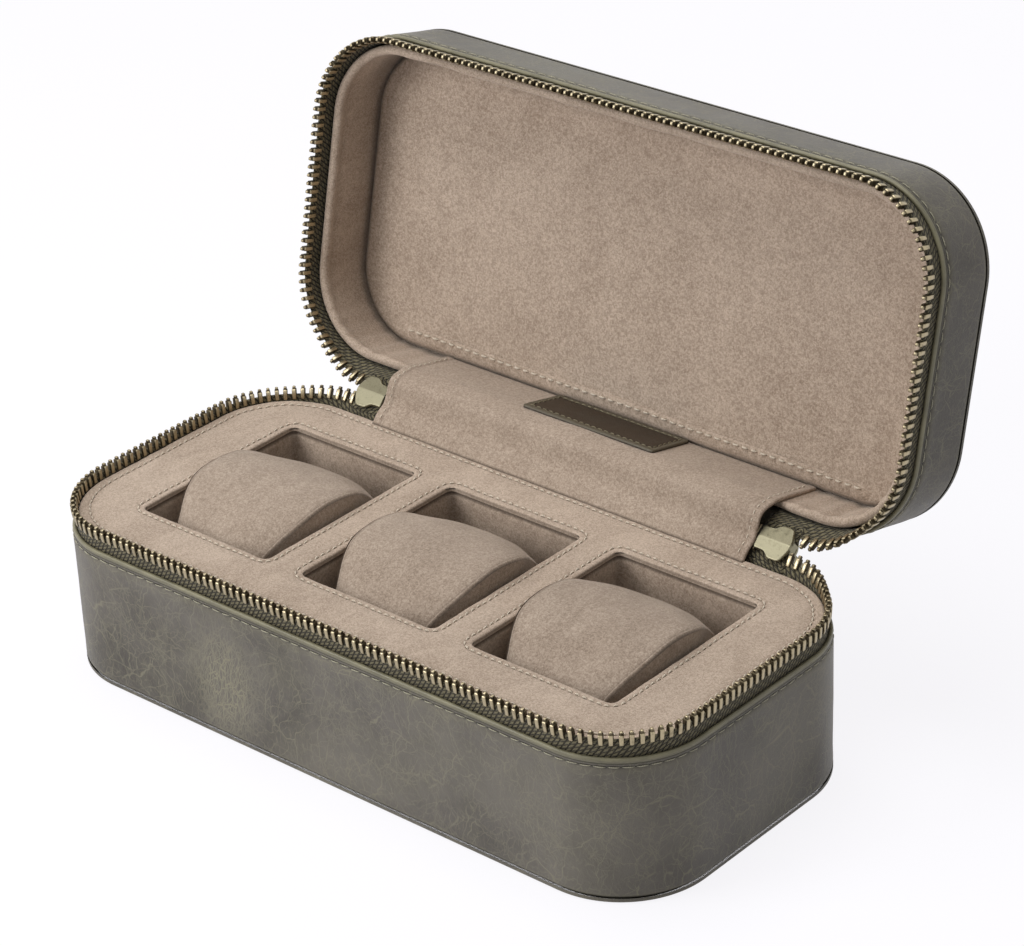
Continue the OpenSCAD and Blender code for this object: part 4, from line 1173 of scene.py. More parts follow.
def base_panel():
    """Padded suede panel round the wells, its edges rolled and its stitch lines drawn in."""
    plan, s = Plan(), sizes()
    low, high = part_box("base_top_panel")
    width, depth = high.x - low.x + 1.6 * MM, high.y - low.y + 1.6 * MM
    inset = (WIDTH - width) / 2
    wells = [well_room(side, LINING) for side in WELLS]
    holes = [(Plan(w, d, WELL_R, 1.3 * MM), [x, y]) for x, y, w, d in wells]
    rings = plan.rings(inset, (0, 0.08, 0.25, 0.55, 0.9, 1.3, 1.8, 2.5, 3.2, 3.6, 3.9, 4.2, 4.8))
    skirts = [0]
    for hole, middle in holes:
        skirts.append(len(rings))
        rings += [ring + middle for ring in
                  hole.rings(0, (0, -0.06, -0.2, -0.42, -0.75, -1.3, -1.9, -2.2, -2.4, -2.6, -2.9, -3.4, -4.2))]

    def edge(xy):
        return depth_in(xy, width, depth, s.corner - inset)

    def off_well(xy):
        return np.min([-depth_in(xy, w, d, WELL_R, (x, y)) for x, y, w, d in wells], 0)

    def lines(xy):
        return np.maximum(bell(edge(xy), PANEL_STITCH, 0.36 * MM), bell(off_well(xy), WELL_STITCH, 0.36 * MM))

    def height(xy):
        swell = np.minimum(eased(edge(xy), PANEL_STITCH, 9 * MM), eased(off_well(xy), WELL_STITCH, 7 * MM))
        z = PANEL_Z + 0.35 * MM + 0.25 * MM * swell - 0.32 * MM * lines(xy)
        z += ripple(xy, 12 * MM, 21) * 0.1 * MM + ripple(xy, 4 * MM, 22) * 0.03 * MM
        return z - rolled(edge(xy), 1.2 * MM) - rolled(off_well(xy), 0.75 * MM)
    # Painted shade along the stitch lines and on the rolled edges that drop into the wells
    notes = {"crease": lambda xy: np.clip(0.26 * lines(xy) + 0.5 * eased(-off_well(xy), -0.2 * MM, 0), 0, 1)}
    mesh = slab("base_padded_panel", rings, 2.2 * MM, lambda xy: (edge(xy) > 1e-7) & (off_well(xy) > 1e-7), height,
                [PANEL_Z - 3 * MM] + 3 * [PANEL_Z - 1.3 * MM], skirts, notes=notes)
    made = piece(closed_up(mesh), "base", suede_finish("Suede"), ("base_top_panel",))
    lines_sewn = [plan.ring(inset + PANEL_STITCH)] + [hole.ring(-WELL_STITCH) + middle for hole, middle in holes]
    rows = [(np.c_[line, height(line) + 0.26 * MM], (0, 0, 1), True) for line in lines_sewn]
    thread = stitch_row("panel_stitches", rows, s.suede_stitch, 0.68, seed=8, slim=1.2)
    piece(thread, "base", thread_finish("Pale thread", colours().pale_thread))


def well(side):
    """Suede lining of a well, its corners soft and its upper edge tucked under the panel."""
    x, y, w, d = well_room(side, LINING)
    plan = Plan(w, d, 2.4 * MM, 1.6 * MM)
    low, high = WELLS[side][0].z, WELLS[side][1].z + 1.9 * MM
    inner = [(0.3 * MM * (1 - k) ** 3 - 0.7 * MM * float(eased(k, 0.955, 0.985)), low + (high - low) * k)
             for k in np.r_[np.linspace(0, 0.9, 20), 0.93, 0.945, 0.96, 0.975, 0.99]]
    profile = inner + [(-LINING, high - 0.4 * MM), (-LINING, low + 1 * MM), (-LINING, low)]

    def bulge(points):
        mask = (np.arange(len(profile)) < len(inner)) * eased(points[..., 2], low, low + 5 * MM)
        return (0.12 * MM + ripple(points * [1, 1, 0.5], 15 * MM, len(side)) * 0.16 * MM) * mask
    points = plan.swept(profile, bulge) + [x, y, 0]
    mesh = skin("well_%s_suede" % side, points, around=True, across=True)
    z = points[..., 2]
    # Painted shade in the upright corners, at the foot and under the upper edge that tucks below the panel
    corner = np.abs(np.abs(plan.out[:, 0]) - np.abs(plan.out[:, 1]))[:, None]
    note(mesh, crease=np.max([0.55 * bell(corner, 0, 0.45) + 0 * z, 0.8 * eased(-z, -low - 1.5 * MM, -low),
                              eased(z, high - 2.2 * MM, high - 1.2 * MM)], 0))
    return piece(closed_up(mesh), "base", suede_finish("Well suede"), ("well_lining_" + side,))


def floor_pad():
    """Thin padded suede floor under the wells."""
    low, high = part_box("base_floor_pad")
    inset = (WIDTH - (high.x - low.x)) / 2

    def edge(xy):
        return depth_in(xy, WIDTH - 2 * inset, DEPTH - 2 * inset, sizes().corner - inset)

    def height(xy):
        return WELL_Z - 0.12 * MM + ripple(xy, 14 * MM, 31) * 0.1 * MM - 0.4 * MM * eased(-edge(xy), -0.8 * MM, 0)

    # Painted shade on the floor next to the wells' walls
    def corner(xy):
        rooms = [well_room(side, LINING) for side in WELLS]
        inside = np.max([depth_in(xy, w, d, 2 * MM, (x, y)) for x, y, w, d in rooms], 0)
        return 0.8 * eased(-inside, -2.2 * MM, 0)
    mesh = slab("well_floor", Plan().rings(inset, (0, 0.2, 0.8)), 3 * MM, lambda xy: edge(xy) > 1e-7, height, low.z,
                (0,), notes={"crease": corner})
    made = piece(closed_up(mesh), "base", suede_finish("Well suede"), ("base_floor_pad",))


# Distance from a cushion's end, and how far its outline is drawn in there: the cap, its seam and the middle
CUSHION_DRAW = np.array([
    (0, 20), (0.08, 16), (0.2, 12.5), (0.36, 9), (0.55, 6), (0.75, 3.8), (0.95, 2.4), (1.12, 1.5), (1.25, 1.15),
    (1.38, 1.6), (1.5, 1.95), (1.62, 1.6), (1.8, 0.95), (2.2, 0.6), (2.5, 0.55), (2.7, 0.72), (2.9, 0.52), (3.6, 0.4),
    (5.2, 0.28), (7.5, 0.18), (10.5, 0.1), (14, 0.06), (18, 0.02), (24, 0)]) * MM
# Where the cap's seam and the crease beside it lie from a cushion's end, and how far its corners draw in
CAP_SEAM, CAP_CREASE, CORNER_DRAW = 1.5 * MM, 2.7 * MM, 8.5 * MM


def cushion_outline(depth, high, count=84):
    """A cushion's section in Y and Z, from the middle of its foot: upright sides, soft corners, arched top."""
    drop, foot, shoulder = 13.6 * MM, 5 * MM, 4.5 * MM
    half = depth / 2
    arch = (half ** 2 + drop ** 2) / (2 * drop)
    turn = math.asin((half - shoulder) / (arch - shoulder))
    rise = high - arch + (arch - shoulder) * math.cos(turn)
    line = [(0, 0.0), (half / 2, 0.2 * MM)]
    line += [(half - foot + foot * math.sin(a), foot - foot * math.cos(a)) for a in np.linspace(0, math.pi / 2, 7)]
    line += [(half + 0.2 * MM, high / 3), (half, rise * 0.8)]
    line += [(half - shoulder + shoulder * math.sin(a), rise + shoulder * math.cos(a))
             for a in np.linspace(math.pi / 2, turn, 8)]
    line += [(arch * math.sin(a), high - arch + arch * math.cos(a)) for a in np.linspace(turn, 0, 16)[1:]]
    line = np.array(line)
    line = np.r_[line, line[-2:0:-1] * [-1, 1]]
    ring = np.r_[line, line[:1]]
    run = run_of(ring)
    return read_at(np.arange(count) * run[-1] / count, run, ring)


def settled(obj, pinned, frames=14, most=1.1 * MM):
    """Fills a cushion with air pressure in a short cloth simulation, held at its seams, and keeps the result."""
    mesh = obj.data
    start = np.array([v.co for v in mesh.vertices])
    group = obj.vertex_groups.new(name="Seams")
    for index in np.nonzero(pinned)[0]:
        group.add([int(index)], 1.0, "REPLACE")
    cloth = obj.modifiers.new("Filling", "CLOTH")
    stuff = cloth.settings
    stuff.quality, stuff.mass, stuff.effector_weights.gravity = 4, 0.2, 0
    stuff.tension_stiffness = stuff.compression_stiffness = 6
    stuff.shear_stiffness, stuff.bending_stiffness = 4, 0.4
    stuff.use_pressure, stuff.uniform_pressure_force = True, 2.5
    stuff.vertex_group_mass = "Seams"
    cloth.collision_settings.use_collision = False
    cloth.point_cache.frame_start, cloth.point_cache.frame_end = 1, frames
    scene = bpy.context.scene
    for frame_number in range(1, frames + 1):
        scene.frame_set(frame_number)
    shaped = obj.evaluated_get(bpy.context.evaluated_depsgraph_get())
    move = np.array([v.co for v in shaped.to_mesh().vertices]) - start
    shaped.to_mesh_clear()
    obj.modifiers.remove(cloth)
    obj.vertex_groups.clear()
    scene.frame_set(1)
    far = np.maximum(np.linalg.norm(move, axis=-1, keepdims=True) / most, 1e-9)
    move *= np.tanh(far) / far
    move[:, :2] = np.clip(move[:, :2], -0.35 * MM, 0.35 * MM)
    move[:, 2] = np.where(start[:, 2] < WELL_Z + 8 * MM, np.clip(move[:, 2], 0, None), move[:, 2])
    mesh.vertices.foreach_set("co", (start + move).astype(np.float32).ravel())
    mesh.update()


def corner_draw(y, depth):
    """How far the cushion's ends draw in towards its front and back corners."""
    return CORNER_DRAW * (1 - eased(depth / 2 - np.abs(y), -1 * MM, 25 * MM)) ** 1.3


def cushion(side, seed):
    """A suede cushion: arched loft with sewn-in end caps."""
    low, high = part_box("cushion_" + side)
    depth, tall = high.y - low.y + 2 * MM, high.z - low.z + 2.3 * MM
    section = cushion_outline(depth, tall)
    half = (high.x - low.x) / 2
    ends = CUSHION_DRAW - [half, 0]
    middle = [(x, 0.0) for x in np.linspace(ends[-1, 0], -ends[-1, 0], 5)[1:-1]]
    rings = []
    for x, draw in np.r_[ends, middle, ends[::-1] * [-1, 1]]:
        y = section[:, 0] * (1 - draw / (depth / 2))
        z = tall / 2 + (section[:, 1] - tall / 2) * (1 - draw / (tall / 2))
        rings.append(np.stack([np.full(len(section), x), y, z], -1))
    points = np.array(rings)
    in_from = half - np.abs(points[..., 0])
    local = points + [seed * 0.3, 0, 0]
    top = eased(points[..., 2], tall * 0.35, tall * 0.8)
    out = normals_of(points)
    if out[len(rings) // 2, len(section) // 2, 2] < 0:
        out = -out
    pucker = np.sin(points[..., 1] * TAU / (6.5 * MM) + 2 * ripple(local, 30 * MM, seed + 5))
    corner = corner_draw(points[..., 1], depth)
    points[..., 2] -= 3.6 * MM * (1 - eased(in_from, 0, 15 * MM)) * (corner / CORNER_DRAW) * top
    points[..., 0] *= 1 - corner / half
    lump = (ripple(local, 26 * MM, seed) * 0.34 + ripple(local, 9 * MM, seed + 1) * 0.1) * MM
    lump = lump * eased(in_from, 1.8 * MM, 8 * MM) + pucker * bell(in_from, 3.2 * MM, 2 * MM) * 0.1 * MM
    points = points + out * (lump * (0.25 + 0.75 * top) - 0.12 * MM)[..., None]
    points[..., 2] = np.maximum(points[..., 2], 0.05 * MM)
    points += [(low.x + high.x) / 2, (low.y + high.y) / 2 + 1.1 * MM, low.z]
    mesh = skin("cushion_%s_suede" % side, points, across=True, caps=True)
    # Painted shade along the cap's stitched joint and the fold beside it, and over the whole end cap, which faces
    # away from the light
    crease = 0.95 * bell(in_from, CAP_SEAM, 0.2 * MM) + 0.4 * bell(in_from, CAP_CREASE, 0.22 * MM)
    note(mesh, crease=np.clip(crease + 0.25 * (in_from < 1.4 * MM), 0, 1))
    made = piece(closed_up(mesh), None, suede_finish("Cushion suede"), ("cushion_" + side,))
    settled(made, (in_from < 1.9 * MM).ravel())
    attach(made, "cushion_" + side)
    fine = made.modifiers.new("Smooth", "SUBSURF")
    fine.levels = fine.render_levels = 1


def lid_lining():
    """Padded suede on the lid's side walls, rolled over beside the zip."""
    plan, s = Plan(), sizes()
    core = s.leather + BOARD
    roll_r, thick = 1.62 * MM, s.lining / 2
    wall = [(core + s.lining, core + (s.lid_h - 2.5 * MM - core) * k) for k in np.linspace(0, 1, 18)]
    turn = np.linspace(-0.5, math.pi + 0.3, 15)
    rolled_over = [(core + 1.7 * MM + roll_r * math.cos(a), s.lid_h + roll_r * math.sin(a)) for a in turn]
    plain = [(core + thick + thick * math.cos(a), s.lid_h - 0.9 * MM + 0.9 * MM * math.sin(min(max(a, 0), math.pi)))
             for a in turn]
    outer = [(core, s.lid_h - 2.5 * MM), (core, core)]
    with_roll, without = [plan.swept(wall + part + outer) for part in (rolled_over, plain)]
    beside = np.minimum(plan.along, plan.round - plan.along) - SPINE_W / 2
    share = eased(beside, 0.2 * MM, 7 * MM)[:, None]
    points = without + (with_roll - without) * share[..., None]
    z = points[..., 2].copy()
    column = np.arange(points.shape[1])
    inside = (column >= 2) & (column < 26)
    flat = np.stack([plan.along[:, None] + 0 * z, z * 0.6, 0 * z], -1)
    wave = np.sin(plan.along * TAU / (7.5 * MM) + 1.8 * ripple(flat[:, 0], 40 * MM, 44))
    tight = bell(beside, 26 * MM, 26 * MM)
    soft = ripple(flat, 22 * MM, 41) * 0.22 * MM + ripple(flat, 7 * MM, 42) * 0.05 * MM
    groove = bell(z, s.lid_h - 3.2 * MM, 1.1 * MM) * share
    soft += (wave * tight)[:, None] * 0.3 * MM + groove * 0.35 * MM
    points[..., :2] += plan.out[:, None] * (soft * inside)[..., None]
    mesh = skin("lid_lining_suede", as_lid(points), around=True, across=True)
    # The corner that the open lid holds highest at the left lies in deep shade
    deep = bell(np.arctan2(-plan.out[:, 1], -plan.out[:, 0]), 0.75, 0.5)[:, None]
    # Painted shade near the foot where the wall meets the panel, in the groove under the roll, on the side hidden
    # under the roll, and in the corner named above
    crease = np.max([(0.7 * eased(-z, -(core + 5.6 * MM), -(core + 3.4 * MM)) + 0.16 * groove) * inside,
                     0.85 * deep * inside * eased(-z, -(core + 16 * MM), -(core + 5 * MM)),
                     0.9 * eased(column, 29, 31) + 0 * z], 0)
    note(mesh, crease=np.clip(crease, 0, 1))
    made = piece(closed_up(mesh), "lid", suede_finish("Suede"), ("lid_side_lining",))


def lid_panel():
    """Padded suede panel that fills the lid, with a rounded edge."""
    s = sizes()
    low = s.leather + BOARD
    inset, r = low + s.lining, s.lid_panel * 0.72

    def edge(xy):
        return depth_in(xy, WIDTH - 2 * inset, DEPTH - 2 * inset, s.corner - inset)

    def height(xy):
        waves = (ripple(xy, 34 * MM, 51) * 0.2 + ripple(xy, 8 * MM, 52) * 0.06) * MM * eased(edge(xy), 0, 4 * MM)
        z = low + s.lid_panel - 0.15 * MM - rolled(edge(xy), r)
        return z + waves + 0.25 * MM * eased(edge(xy), 4 * MM, 26 * MM)
    # Painted shade in a band round the panel's rolled edge, below the side walls
    mesh = slab("lid_panel_suede", Plan().rings(inset, (0, 0.1, 0.3, 0.7, 1.2, 1.8, 2.5, 3.4, 5, 8)), 2.6 * MM,
                lambda xy: edge(xy) > 1e-7, height, low, (0,), as_lid,
                {"crease": lambda xy: 0.95 * eased(-edge(xy), -3.0 * MM, -0.6 * MM)})
    made = piece(closed_up(mesh), "lid", suede_finish("Lid suede"), ("lid_padded_panel",))


# The sewn strip's section in millimetres: how far behind its sewn edge, and how high over the lid's panel
STRIP = np.array([(0, -0.5), (0, 0.35), (0.35, 0.66), (1.2, 0.78), (2.3, 0.8), (3.4, 0.74), (4.3, 0.5), (5.0, 0.1),
                  (5.6, -0.5), (6.1, -1.2), (6.4, -2.1), (5.6, -2.1), (4.6, -1.3), (2.5, -0.9)]) * MM


def seam_strip():
    """Suede strip sewn along the lid panel's hinge side and turned down over its edge, with pale stitches."""
    s = sizes()
    inset = s.leather + BOARD + s.lining + s.lid_panel * 0.72
    reach, width = 101 * MM, 4.6 * MM
    x = np.linspace(-reach, reach, 150)
    strip = STRIP + [DEPTH / 2 - inset - width, s.leather + BOARD + s.lid_panel]
    grid = np.stack([np.c_[np.full(len(strip), at), strip] for at in x])
    r = s.corner - inset
    past = np.clip(np.abs(x) - (WIDTH / 2 - s.corner), 0, None)
    grid[..., 1] -= (r - np.sqrt(r ** 2 - past ** 2))[:, None]
    grid[..., 2] -= (1.3 * MM * eased(np.abs(x), reach - 7 * MM, reach))[:, None]
    grid[:, 1:10, 2] += ripple(grid[:, 1:10], 16 * MM, 61) * 0.08 * MM
    grid[..., 1] += ripple(grid * [1, 0, 0], 40 * MM, 62) * 0.2 * MM
    mesh = closed_up(skin("lid_strip_suede", as_lid(grid), across=True, caps=True))
    # Painted shade along the strip's sewn edge and under its turned-down edge
    mark = np.zeros(grid.shape[:2])
    mark[:, [0, 10, 11]] = 0.9
    note(mesh, crease=mark)
    piece(mesh, "lid", suede_finish("Lid suede"), ("lid_seam_strip",))
    line = grid[4:-4, 3] + [0, 0, 0.2 * MM]
    up = as_lid(line + [0, 0, MM]) - as_lid(line)
    thread = stitch_row("strip_stitches", [(as_lid(line), up, False)], 3.7 * MM, 0.74, seed=9, slim=1.45)
    piece(thread, "lid", thread_finish("Pale thread", colours().pale_thread))


def bend(a, b, c, d, steps):
    """Points of a cubic curve."""
    t = np.asarray(steps, float)[:, None]
    a, b, c, d = [np.asarray(p, float) for p in (a, b, c, d)]
    return (1 - t) ** 3 * a + 3 * (1 - t) ** 2 * t * b + 3 * (1 - t) * t * t * c + t ** 3 * d


def opened(y, z):
    """Where a place in the lid's tray lies in Y and Z once the lid stands open."""
    return as_lid([0, y, z])[1:]


def evened(line, count):
    """A line with its points at even steps, and its length."""
    run = run_of(line)
    return read_at(np.linspace(0, run[-1], count), run, line), run[-1]


def hinge_band(name, line, width, thick, finish, node, hem=0.0, soft=0.0, seed=71, middle=0.0, fold=0.0):
    """A flexible band over the hinge: its line in Y and Z carried along X, with folded hems at its ends."""
    points, reach = evened(line, 44)
    way = unit(np.gradient(points, axis=0))
    side = np.stack([-way[:, 1], way[:, 0]], -1)
    half = width / 2
    inner = np.linspace(-half + 7 * MM, half - 7 * MM, round(width / (2.2 * MM)))
    ends = half - np.array([0, 0.15, 0.5, 1.0, 1.8, 2.5, 3.0, 3.3, 3.6, 4.0, 5.2]) * MM
    x = np.r_[-ends, inner, ends[::-1]]
    from_end = half - np.abs(x)
    body = thick / 2 * (1 + hem * eased(-from_end, -3.6 * MM, -3.1 * MM))
    body *= np.sqrt(np.clip(1 - (1 - np.clip(from_end / (0.5 * MM), 0, 1)) ** 2, 0.05, 1))
    upper, lower = points + side * body[:, None, None], points - side * body[:, None, None]
    loop = np.concatenate([upper, lower[:, ::-1]], 1)
    grid = np.concatenate([np.broadcast_to(x[:, None, None], loop.shape[:2] + (1,)), loop], -1)
    t = np.r_[np.linspace(0, 1, 44), np.linspace(1, 0, 44)]
    free = np.sin(math.pi * t) ** 1.5
    wave = ripple(np.stack([grid[..., 0], 0.35 * t * reach + 0 * grid[..., 0], 0 * grid[..., 0]], -1), 34 * MM, seed)
    wave += 0.3 * ripple(grid, 11 * MM, seed + 1)
    ridge = fold * (bell(t, 0.37, 0.085) - 0.9 * bell(t, 0.18, 0.08))
    grid[..., 1:] += (wave * free * soft + ridge)[..., None] * np.r_[side, side[::-1]]
    grid[..., 0] += middle
    mesh = skin(name, grid, across=True, caps=True)
    every = np.ones(grid.shape[:2])
    # Painted shade along the hems and at the band's tucked start. The leather is marked paler along the band's free
    # middle
    hem_line = 0.35 * bell(from_end, 3.4 * MM, 0.3 * MM)[:, None] * (hem > 0)
    note(mesh, crease=np.maximum(hem_line, 0.95 * (t < 0.012)) * every, worn=0.4 * free * every, seam=0 * every)
    made = piece(closed_up(mesh), None, finish, (node,))
    points = points + side * (ridge[:44] + 0.02 * MM)[:, None]
    return made, points, side, reach


def spine():
    """Leather spine that joins the base's and the lid's back edges."""
    s = sizes()
    y = DEPTH / 2 - s.leather / 2
    edge, root, turn = TOUCH - s.bead, 0.4 * MM, 1.6 * MM
    start, end = np.array([y, BASE_H + edge]), opened(y, s.lid_h + edge)
    base_root, lid_root = start + [0, root], opened(y, s.lid_h + edge + root)
    base_turn, lid_turn = base_root + [0, turn], opened(y, s.lid_h + edge + root + turn)
    along = unit(end - start) * 4 * MM
    middle = (start + end) / 2 + np.array([0.8, -0.8]) * MM
    steps = np.linspace(0, 1, 14)
    line = np.r_[[start], bend(base_root, base_turn, middle - along, middle, steps[:-1]),
                 bend(middle, middle + along, lid_turn, lid_root, steps), [end]]
    width = SPINE_W - 1.6 * MM
    made, points, _, reach = hinge_band("spine_leather", line, width, 1.1 * MM, leather_finish(),
                                        "hinge_spine", soft=0.06 * MM, seed=75)
    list(points[1])
    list(points[-2])
    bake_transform(made)


def flap():
    """Suede flap inside the hinge, from the base's panel over to the lid's, with hemmed and stitched ends."""
    s = sizes()
    panel_inset = s.leather + BOARD + TOUCH
    inset = s.leather + BOARD + s.lining + TOUCH + 0.5 * MM
    low = s.leather + BOARD + s.lid_panel + 0.3 * MM
    inner = np.array([-math.sin(OPEN_ANGLE / 2), math.cos(OPEN_ANGLE / 2)])
    start = np.array([DEPTH / 2 - panel_inset - 1.2 * MM, PANEL_Z + 0.15 * MM])
    over = np.array([HINGE_Y, HINGE_Z]) + inner * 4.4 * MM
    down, end = opened(DEPTH / 2 - inset, s.lid_h + MM), opened(DEPTH / 2 - inset, low)
    tangent = unit(down - start) * 4.4 * MM
    steps = np.linspace(0, 1, 16)
    line = np.r_[bend(start, start + np.array([1.5, 0.75]) * MM, over - tangent, over, steps[:-1]),
                 bend(over, over + tangent * 1.2, down + unit(down - end) * 5 * MM, down, steps), [end]]
    width, middle = SPINE_W + 1.6 * MM, 0.4 * MM
    made, points, side, reach = hinge_band("flap_suede", line, width, 1.0 * MM, suede_finish("Flap suede"),
                                           "hinge_flap", hem=0.35, soft=0.3 * MM, middle=middle, fold=1.9 * MM)
    rows = []
    for end_x in (-1, 1):
        line3 = np.c_[np.full(40, middle + end_x * (width / 2 - 2.6 * MM)), points[2:42] + side[2:42] * 0.62 * MM]
        rows.append((line3, np.c_[np.zeros(40), side[2:42]], False))
    thread = stitch_row("flap_stitches", rows, s.suede_stitch, 0.66, seed=12)
    sewn = piece(thread, None, thread_finish("Flap thread", colours().pale_thread))
    for part in (made, sewn):
        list(points[2])
        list(points[-12])
        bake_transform(part)


def patch():
    """Leather patch on the flap, bare, with a stitched border."""
    s = sizes()
    w, h, thick, r, border = 54.7 * MM, 19.6 * MM, 0.9 * MM, 1.1 * MM, 2.1 * MM
    x, z = 0.45 * MM, 7.3 * MM + h / 2
    back = DEPTH / 2 - (s.leather + BOARD + s.lining + 2 * TOUCH + MM)
    plan = Plan(w, h, r, 0.8 * MM)
    rings = plan.rings(0, (0, 0.08, 0.25, 0.5, 0.9, 1.4, 1.75, 1.95, 2.1, 2.3, 2.6, 3.2))

    def edge(xy):
        return depth_in(xy, w, h, r)

    def height(xy):
        top = thick - 0.3 * MM * rolled(edge(xy) / (0.5 * MM), 1) + ripple(xy, 15 * MM, 81) * 0.05 * MM
        return top - 0.2 * MM * bell(edge(xy), border, 0.28 * MM)

    def place(points):
        p = np.asarray(points, float)
        return as_lid(np.stack([x + p[..., 0], back - p[..., 2], z + p[..., 1]], -1))
    mesh = slab("patch_leather", rings, 0.9 * MM, lambda xy: edge(xy) > 1e-7, height, 0.0, (0,), place,
                {"border": lambda xy: eased(-edge(xy), -border, -border + 0.15 * MM)})
    piece(closed_up(mesh), "lid", patch_finish(), ("flap_leather_patch",))
    ring = plan.ring(border)
    line = np.c_[ring, height(ring) + 0.12 * MM]
    up = place(line + [0, 0, MM]) - place(line)
    thread = stitch_row("patch_stitches", [(place(line), up, True)], 2.6 * MM, 0.76, seed=13, slim=0.75)
    piece(thread, "lid", thread_finish("Patch thread", colours().patch_thread))


def dressed(names, finish):
    """Gives CAD nodes a finish of this script's."""
    for name in names:
        slots = frame["nodes"][name].data.materials
        if not slots:
            slots.append(finish)
        for i in range(len(slots)):
            slots[i] = finish


# Operators

class CASE_OT_leather(bpy.types.Operator):
    """Makes the leather walls, outer faces, beads and rim stitches of the base and the lid"""
    bl_idname = "case.leather"
    bl_label = "Leather"

    def execute(self, context):
        for make in (tray_wall, tray_face, tray_bead, rim_stitches):
            for tray in trays():
                make(tray)
        return {"FINISHED"}


class CASE_OT_zip(bpy.types.Operator):
    """Makes the woven tapes and the metal teeth of the zip"""
    bl_idname = "case.zip"
    bl_label = "Zip"

    def execute(self, context):
        for make in (tape_band, tooth_row):
            for tray in trays():
                make(tray)
        return {"FINISHED"}


class CASE_OT_sliders(bpy.types.Operator):
    """Makes both sliders and the closed ends of the zip behind them, and finishes the pull tabs"""
    bl_idname = "case.sliders"
    bl_label = "Sliders and pulls"

    def execute(self, context):
        for side in (-1, 1):
            slider(side)
            zip_end(side)
            pull(side)
        return {"FINISHED"}


class CASE_OT_base_suede(bpy.types.Operator):
    """Makes the base's padded panel, the linings of its wells and their floor"""
    bl_idname = "case.base_suede"
    bl_label = "Base panel and wells"

    def execute(self, context):
        base_panel()
        for side in WELLS:
            well(side)
        floor_pad()
        return {"FINISHED"}


class CASE_OT_cushions(bpy.types.Operator):
    """Makes the three loose cushions"""
    bl_idname = "case.cushions"
    bl_label = "Cushions"

    def execute(self, context):
        for seed, side in enumerate(WELLS):
            cushion(side, 11 * seed + 3)
        return {"FINISHED"}


class CASE_OT_lid_suede(bpy.types.Operator):
    """Makes the lid's rolled side lining, its padded panel and the sewn strip"""
    bl_idname = "case.lid_suede"
    bl_label = "Lid lining and panel"

    def execute(self, context):
        lid_lining()
        lid_panel()
        seam_strip()
        return {"FINISHED"}


class CASE_OT_hinge(bpy.types.Operator):
    """Makes the leather spine, the suede flap and the patch on it"""
    bl_idname = "case.hinge"
    bl_label = "Spine, flap and patch"

    def execute(self, context):
        spine()
        flap()
        patch()
        return {"FINISHED"}


class CASE_OT_boards(bpy.types.Operator):
    """Finishes the boards and the foam inside the walls"""
    bl_idname = "case.boards"
    bl_label = "Boards and foam"

    def execute(self, context):
        dressed(("base_bottom_board", "base_side_board", "lid_top_board", "lid_side_board"), fibre_finish())
        dressed(("base_insert_core",), foam_finish())
        return {"FINISHED"}


class CASE_OT_stage(bpy.types.Operator):
    """Sets the pale floor, the soft lamps and the camera"""
    bl_idname = "case.stage"
    bl_label = "Stage"

    def execute(self, context):
        stage()
        return {"FINISHED"}


def floor_finish():
    """Pale floor that the camera and bright metal see as white, with the case's shadow kept."""
    made = bpy.data.materials.new("Studio floor")
    made.use_nodes = True
    r, nodes = Recipe(made.node_tree), made.node_tree.nodes
    shader = nodes["Principled BSDF"]
    pale = bpy.context.scene.case_studio.floor
    seen = r.seen()
    r.put(shader, {"Roughness": 0.9, "Specular IOR Level": 0.1,
                   "Base Color": r.mix(seen, pale[:], dimmed(pale, 0.16))})
    glow = r.node("Emission", {"Color": (0.985, 0.975, 1, 1), "Strength": 0.885})
    dark = r.node("Emission", {"Color": (0, 0, 0, 1), "Strength": 0.0})
    pick = r.node("MixShader", {0: seen, 1: dark.outputs[0], 2: glow.outputs[0]})
    both = r.node("AddShader", {0: shader.outputs[0], 1: pick.outputs[0]})
    r.put(nodes["Material Output"], {"Surface": both.outputs[0]})
    return made


def sky():
    """Even light all round, which the camera and bright metal see as white."""
    world = bpy.data.worlds.new("Studio")
    world.use_nodes = True
    r = Recipe(world.node_tree)
    strength = r.node("MapRange", {0: r.seen(), 1: 0.0, 2: 1.0, 3: bpy.context.scene.case_studio.sky, 4: 1.0})
    r.put(world.node_tree.nodes["Background"], {0: (1, 1, 1, 1), 1: strength.outputs[0]})
    return world


def lamp(name, size, power, where):
    """A round, soft lamp that looks at the case."""
    light = bpy.data.lights.new(name, "AREA")
    light.shape, light.size, light.energy = "DISK", size, power
    made = shown(name, light)
    made.location = where
    made.rotation_euler = (Vector((0, 0.03, 0.05)) - Vector(where)).to_track_quat("-Z", "Y").to_euler()


# Where the camera stands, and its right, its up and the way that it looks
CAMERA_PLACE = (0.6710277, -0.7105174, 0.6145767)
CAMERA_AXES = ((0.75764083, 0.65138939, -0.04089289), (-0.28467891, 0.38619501, 0.87738893),
               (-0.58731447, 0.65310433, -0.47803394))


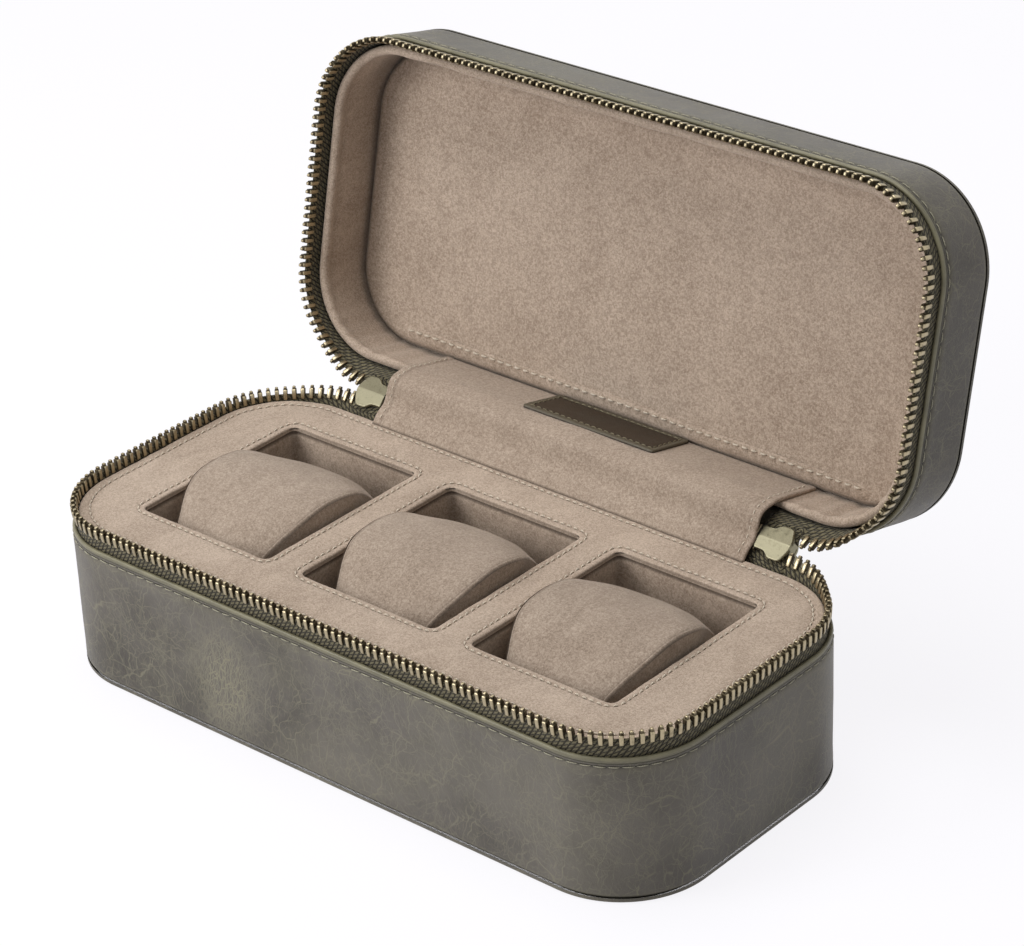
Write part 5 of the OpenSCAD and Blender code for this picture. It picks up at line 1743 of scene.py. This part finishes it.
def stage():
    """Floor, light all round, lamps and camera."""
    scene, studio = bpy.context.scene, bpy.context.scene.case_studio
    far = 6.0
    floor = mesh_of("floor", [(-far, -far, 0), (far, -far, 0), (far, far, 0), (-far, far, 0)], [[0, 1, 2, 3]])
    floor.materials.append(floor_finish())
    shown("floor", floor)
    scene.world = sky()
    lamp("Key", 0.9, studio.key, (-0.25, -0.05, 1.3))
    lamp("Side", 0.6, studio.side, (-0.55, -0.82, 0.55))
    camera = bpy.data.cameras.new("Camera")
    camera.sensor_width, camera.lens = 36, studio.lens
    camera.clip_start, camera.clip_end = 0.01, 50
    seat = shown("Camera", camera)
    right, up, ahead = [Vector(axis) for axis in CAMERA_AXES]
    seat.matrix_world = Matrix.Translation(CAMERA_PLACE) @ Matrix((right, up, -ahead)).transposed().to_4x4()
    scene.camera = seat
    scene.view_settings.view_transform = "Standard"


class CASE_PT_panel(bpy.types.Panel):
    """Sizes, colours and pieces of the case"""
    bl_label = "Watch travel case"
    bl_space_type = "VIEW_3D"
    bl_region_type = "UI"
    bl_category = "Case"

    def draw(self, context):
        for title, group in (("Sizes", context.scene.case_sizes), ("Colours", context.scene.case_colours),
                             ("Studio", context.scene.case_studio)):
            box = self.layout.box()
            box.label(text=title)
            for key in group.__annotations__:
                box.prop(group, key)
        box = self.layout.box()
        box.label(text="Pieces")
        for operator in STEPS:
            box.operator(operator.bl_idname)


STEPS = (CASE_OT_leather, CASE_OT_zip, CASE_OT_sliders, CASE_OT_base_suede, CASE_OT_cushions, CASE_OT_lid_suede,
         CASE_OT_hinge, CASE_OT_boards, CASE_OT_stage)
GROUPS = {"case_sizes": CaseSizes, "case_colours": CaseColours, "case_studio": CaseStudio}


def register():
    for kind in (*GROUPS.values(), *STEPS, CASE_PT_panel):
        bpy.utils.register_class(kind)
    for key, kind in GROUPS.items():
        setattr(bpy.types.Scene, key, PointerProperty(type=kind))


def unregister():
    for key in GROUPS:
        delattr(bpy.types.Scene, key)
    for kind in reversed((*GROUPS.values(), *STEPS, CASE_PT_panel)):
        bpy.utils.unregister_class(kind)


def main():
    register()
    for step in STEPS:
        group, name = step.bl_idname.split(".")
        getattr(getattr(bpy.ops, group), name)()


if __name__ == "__main__":
    main()
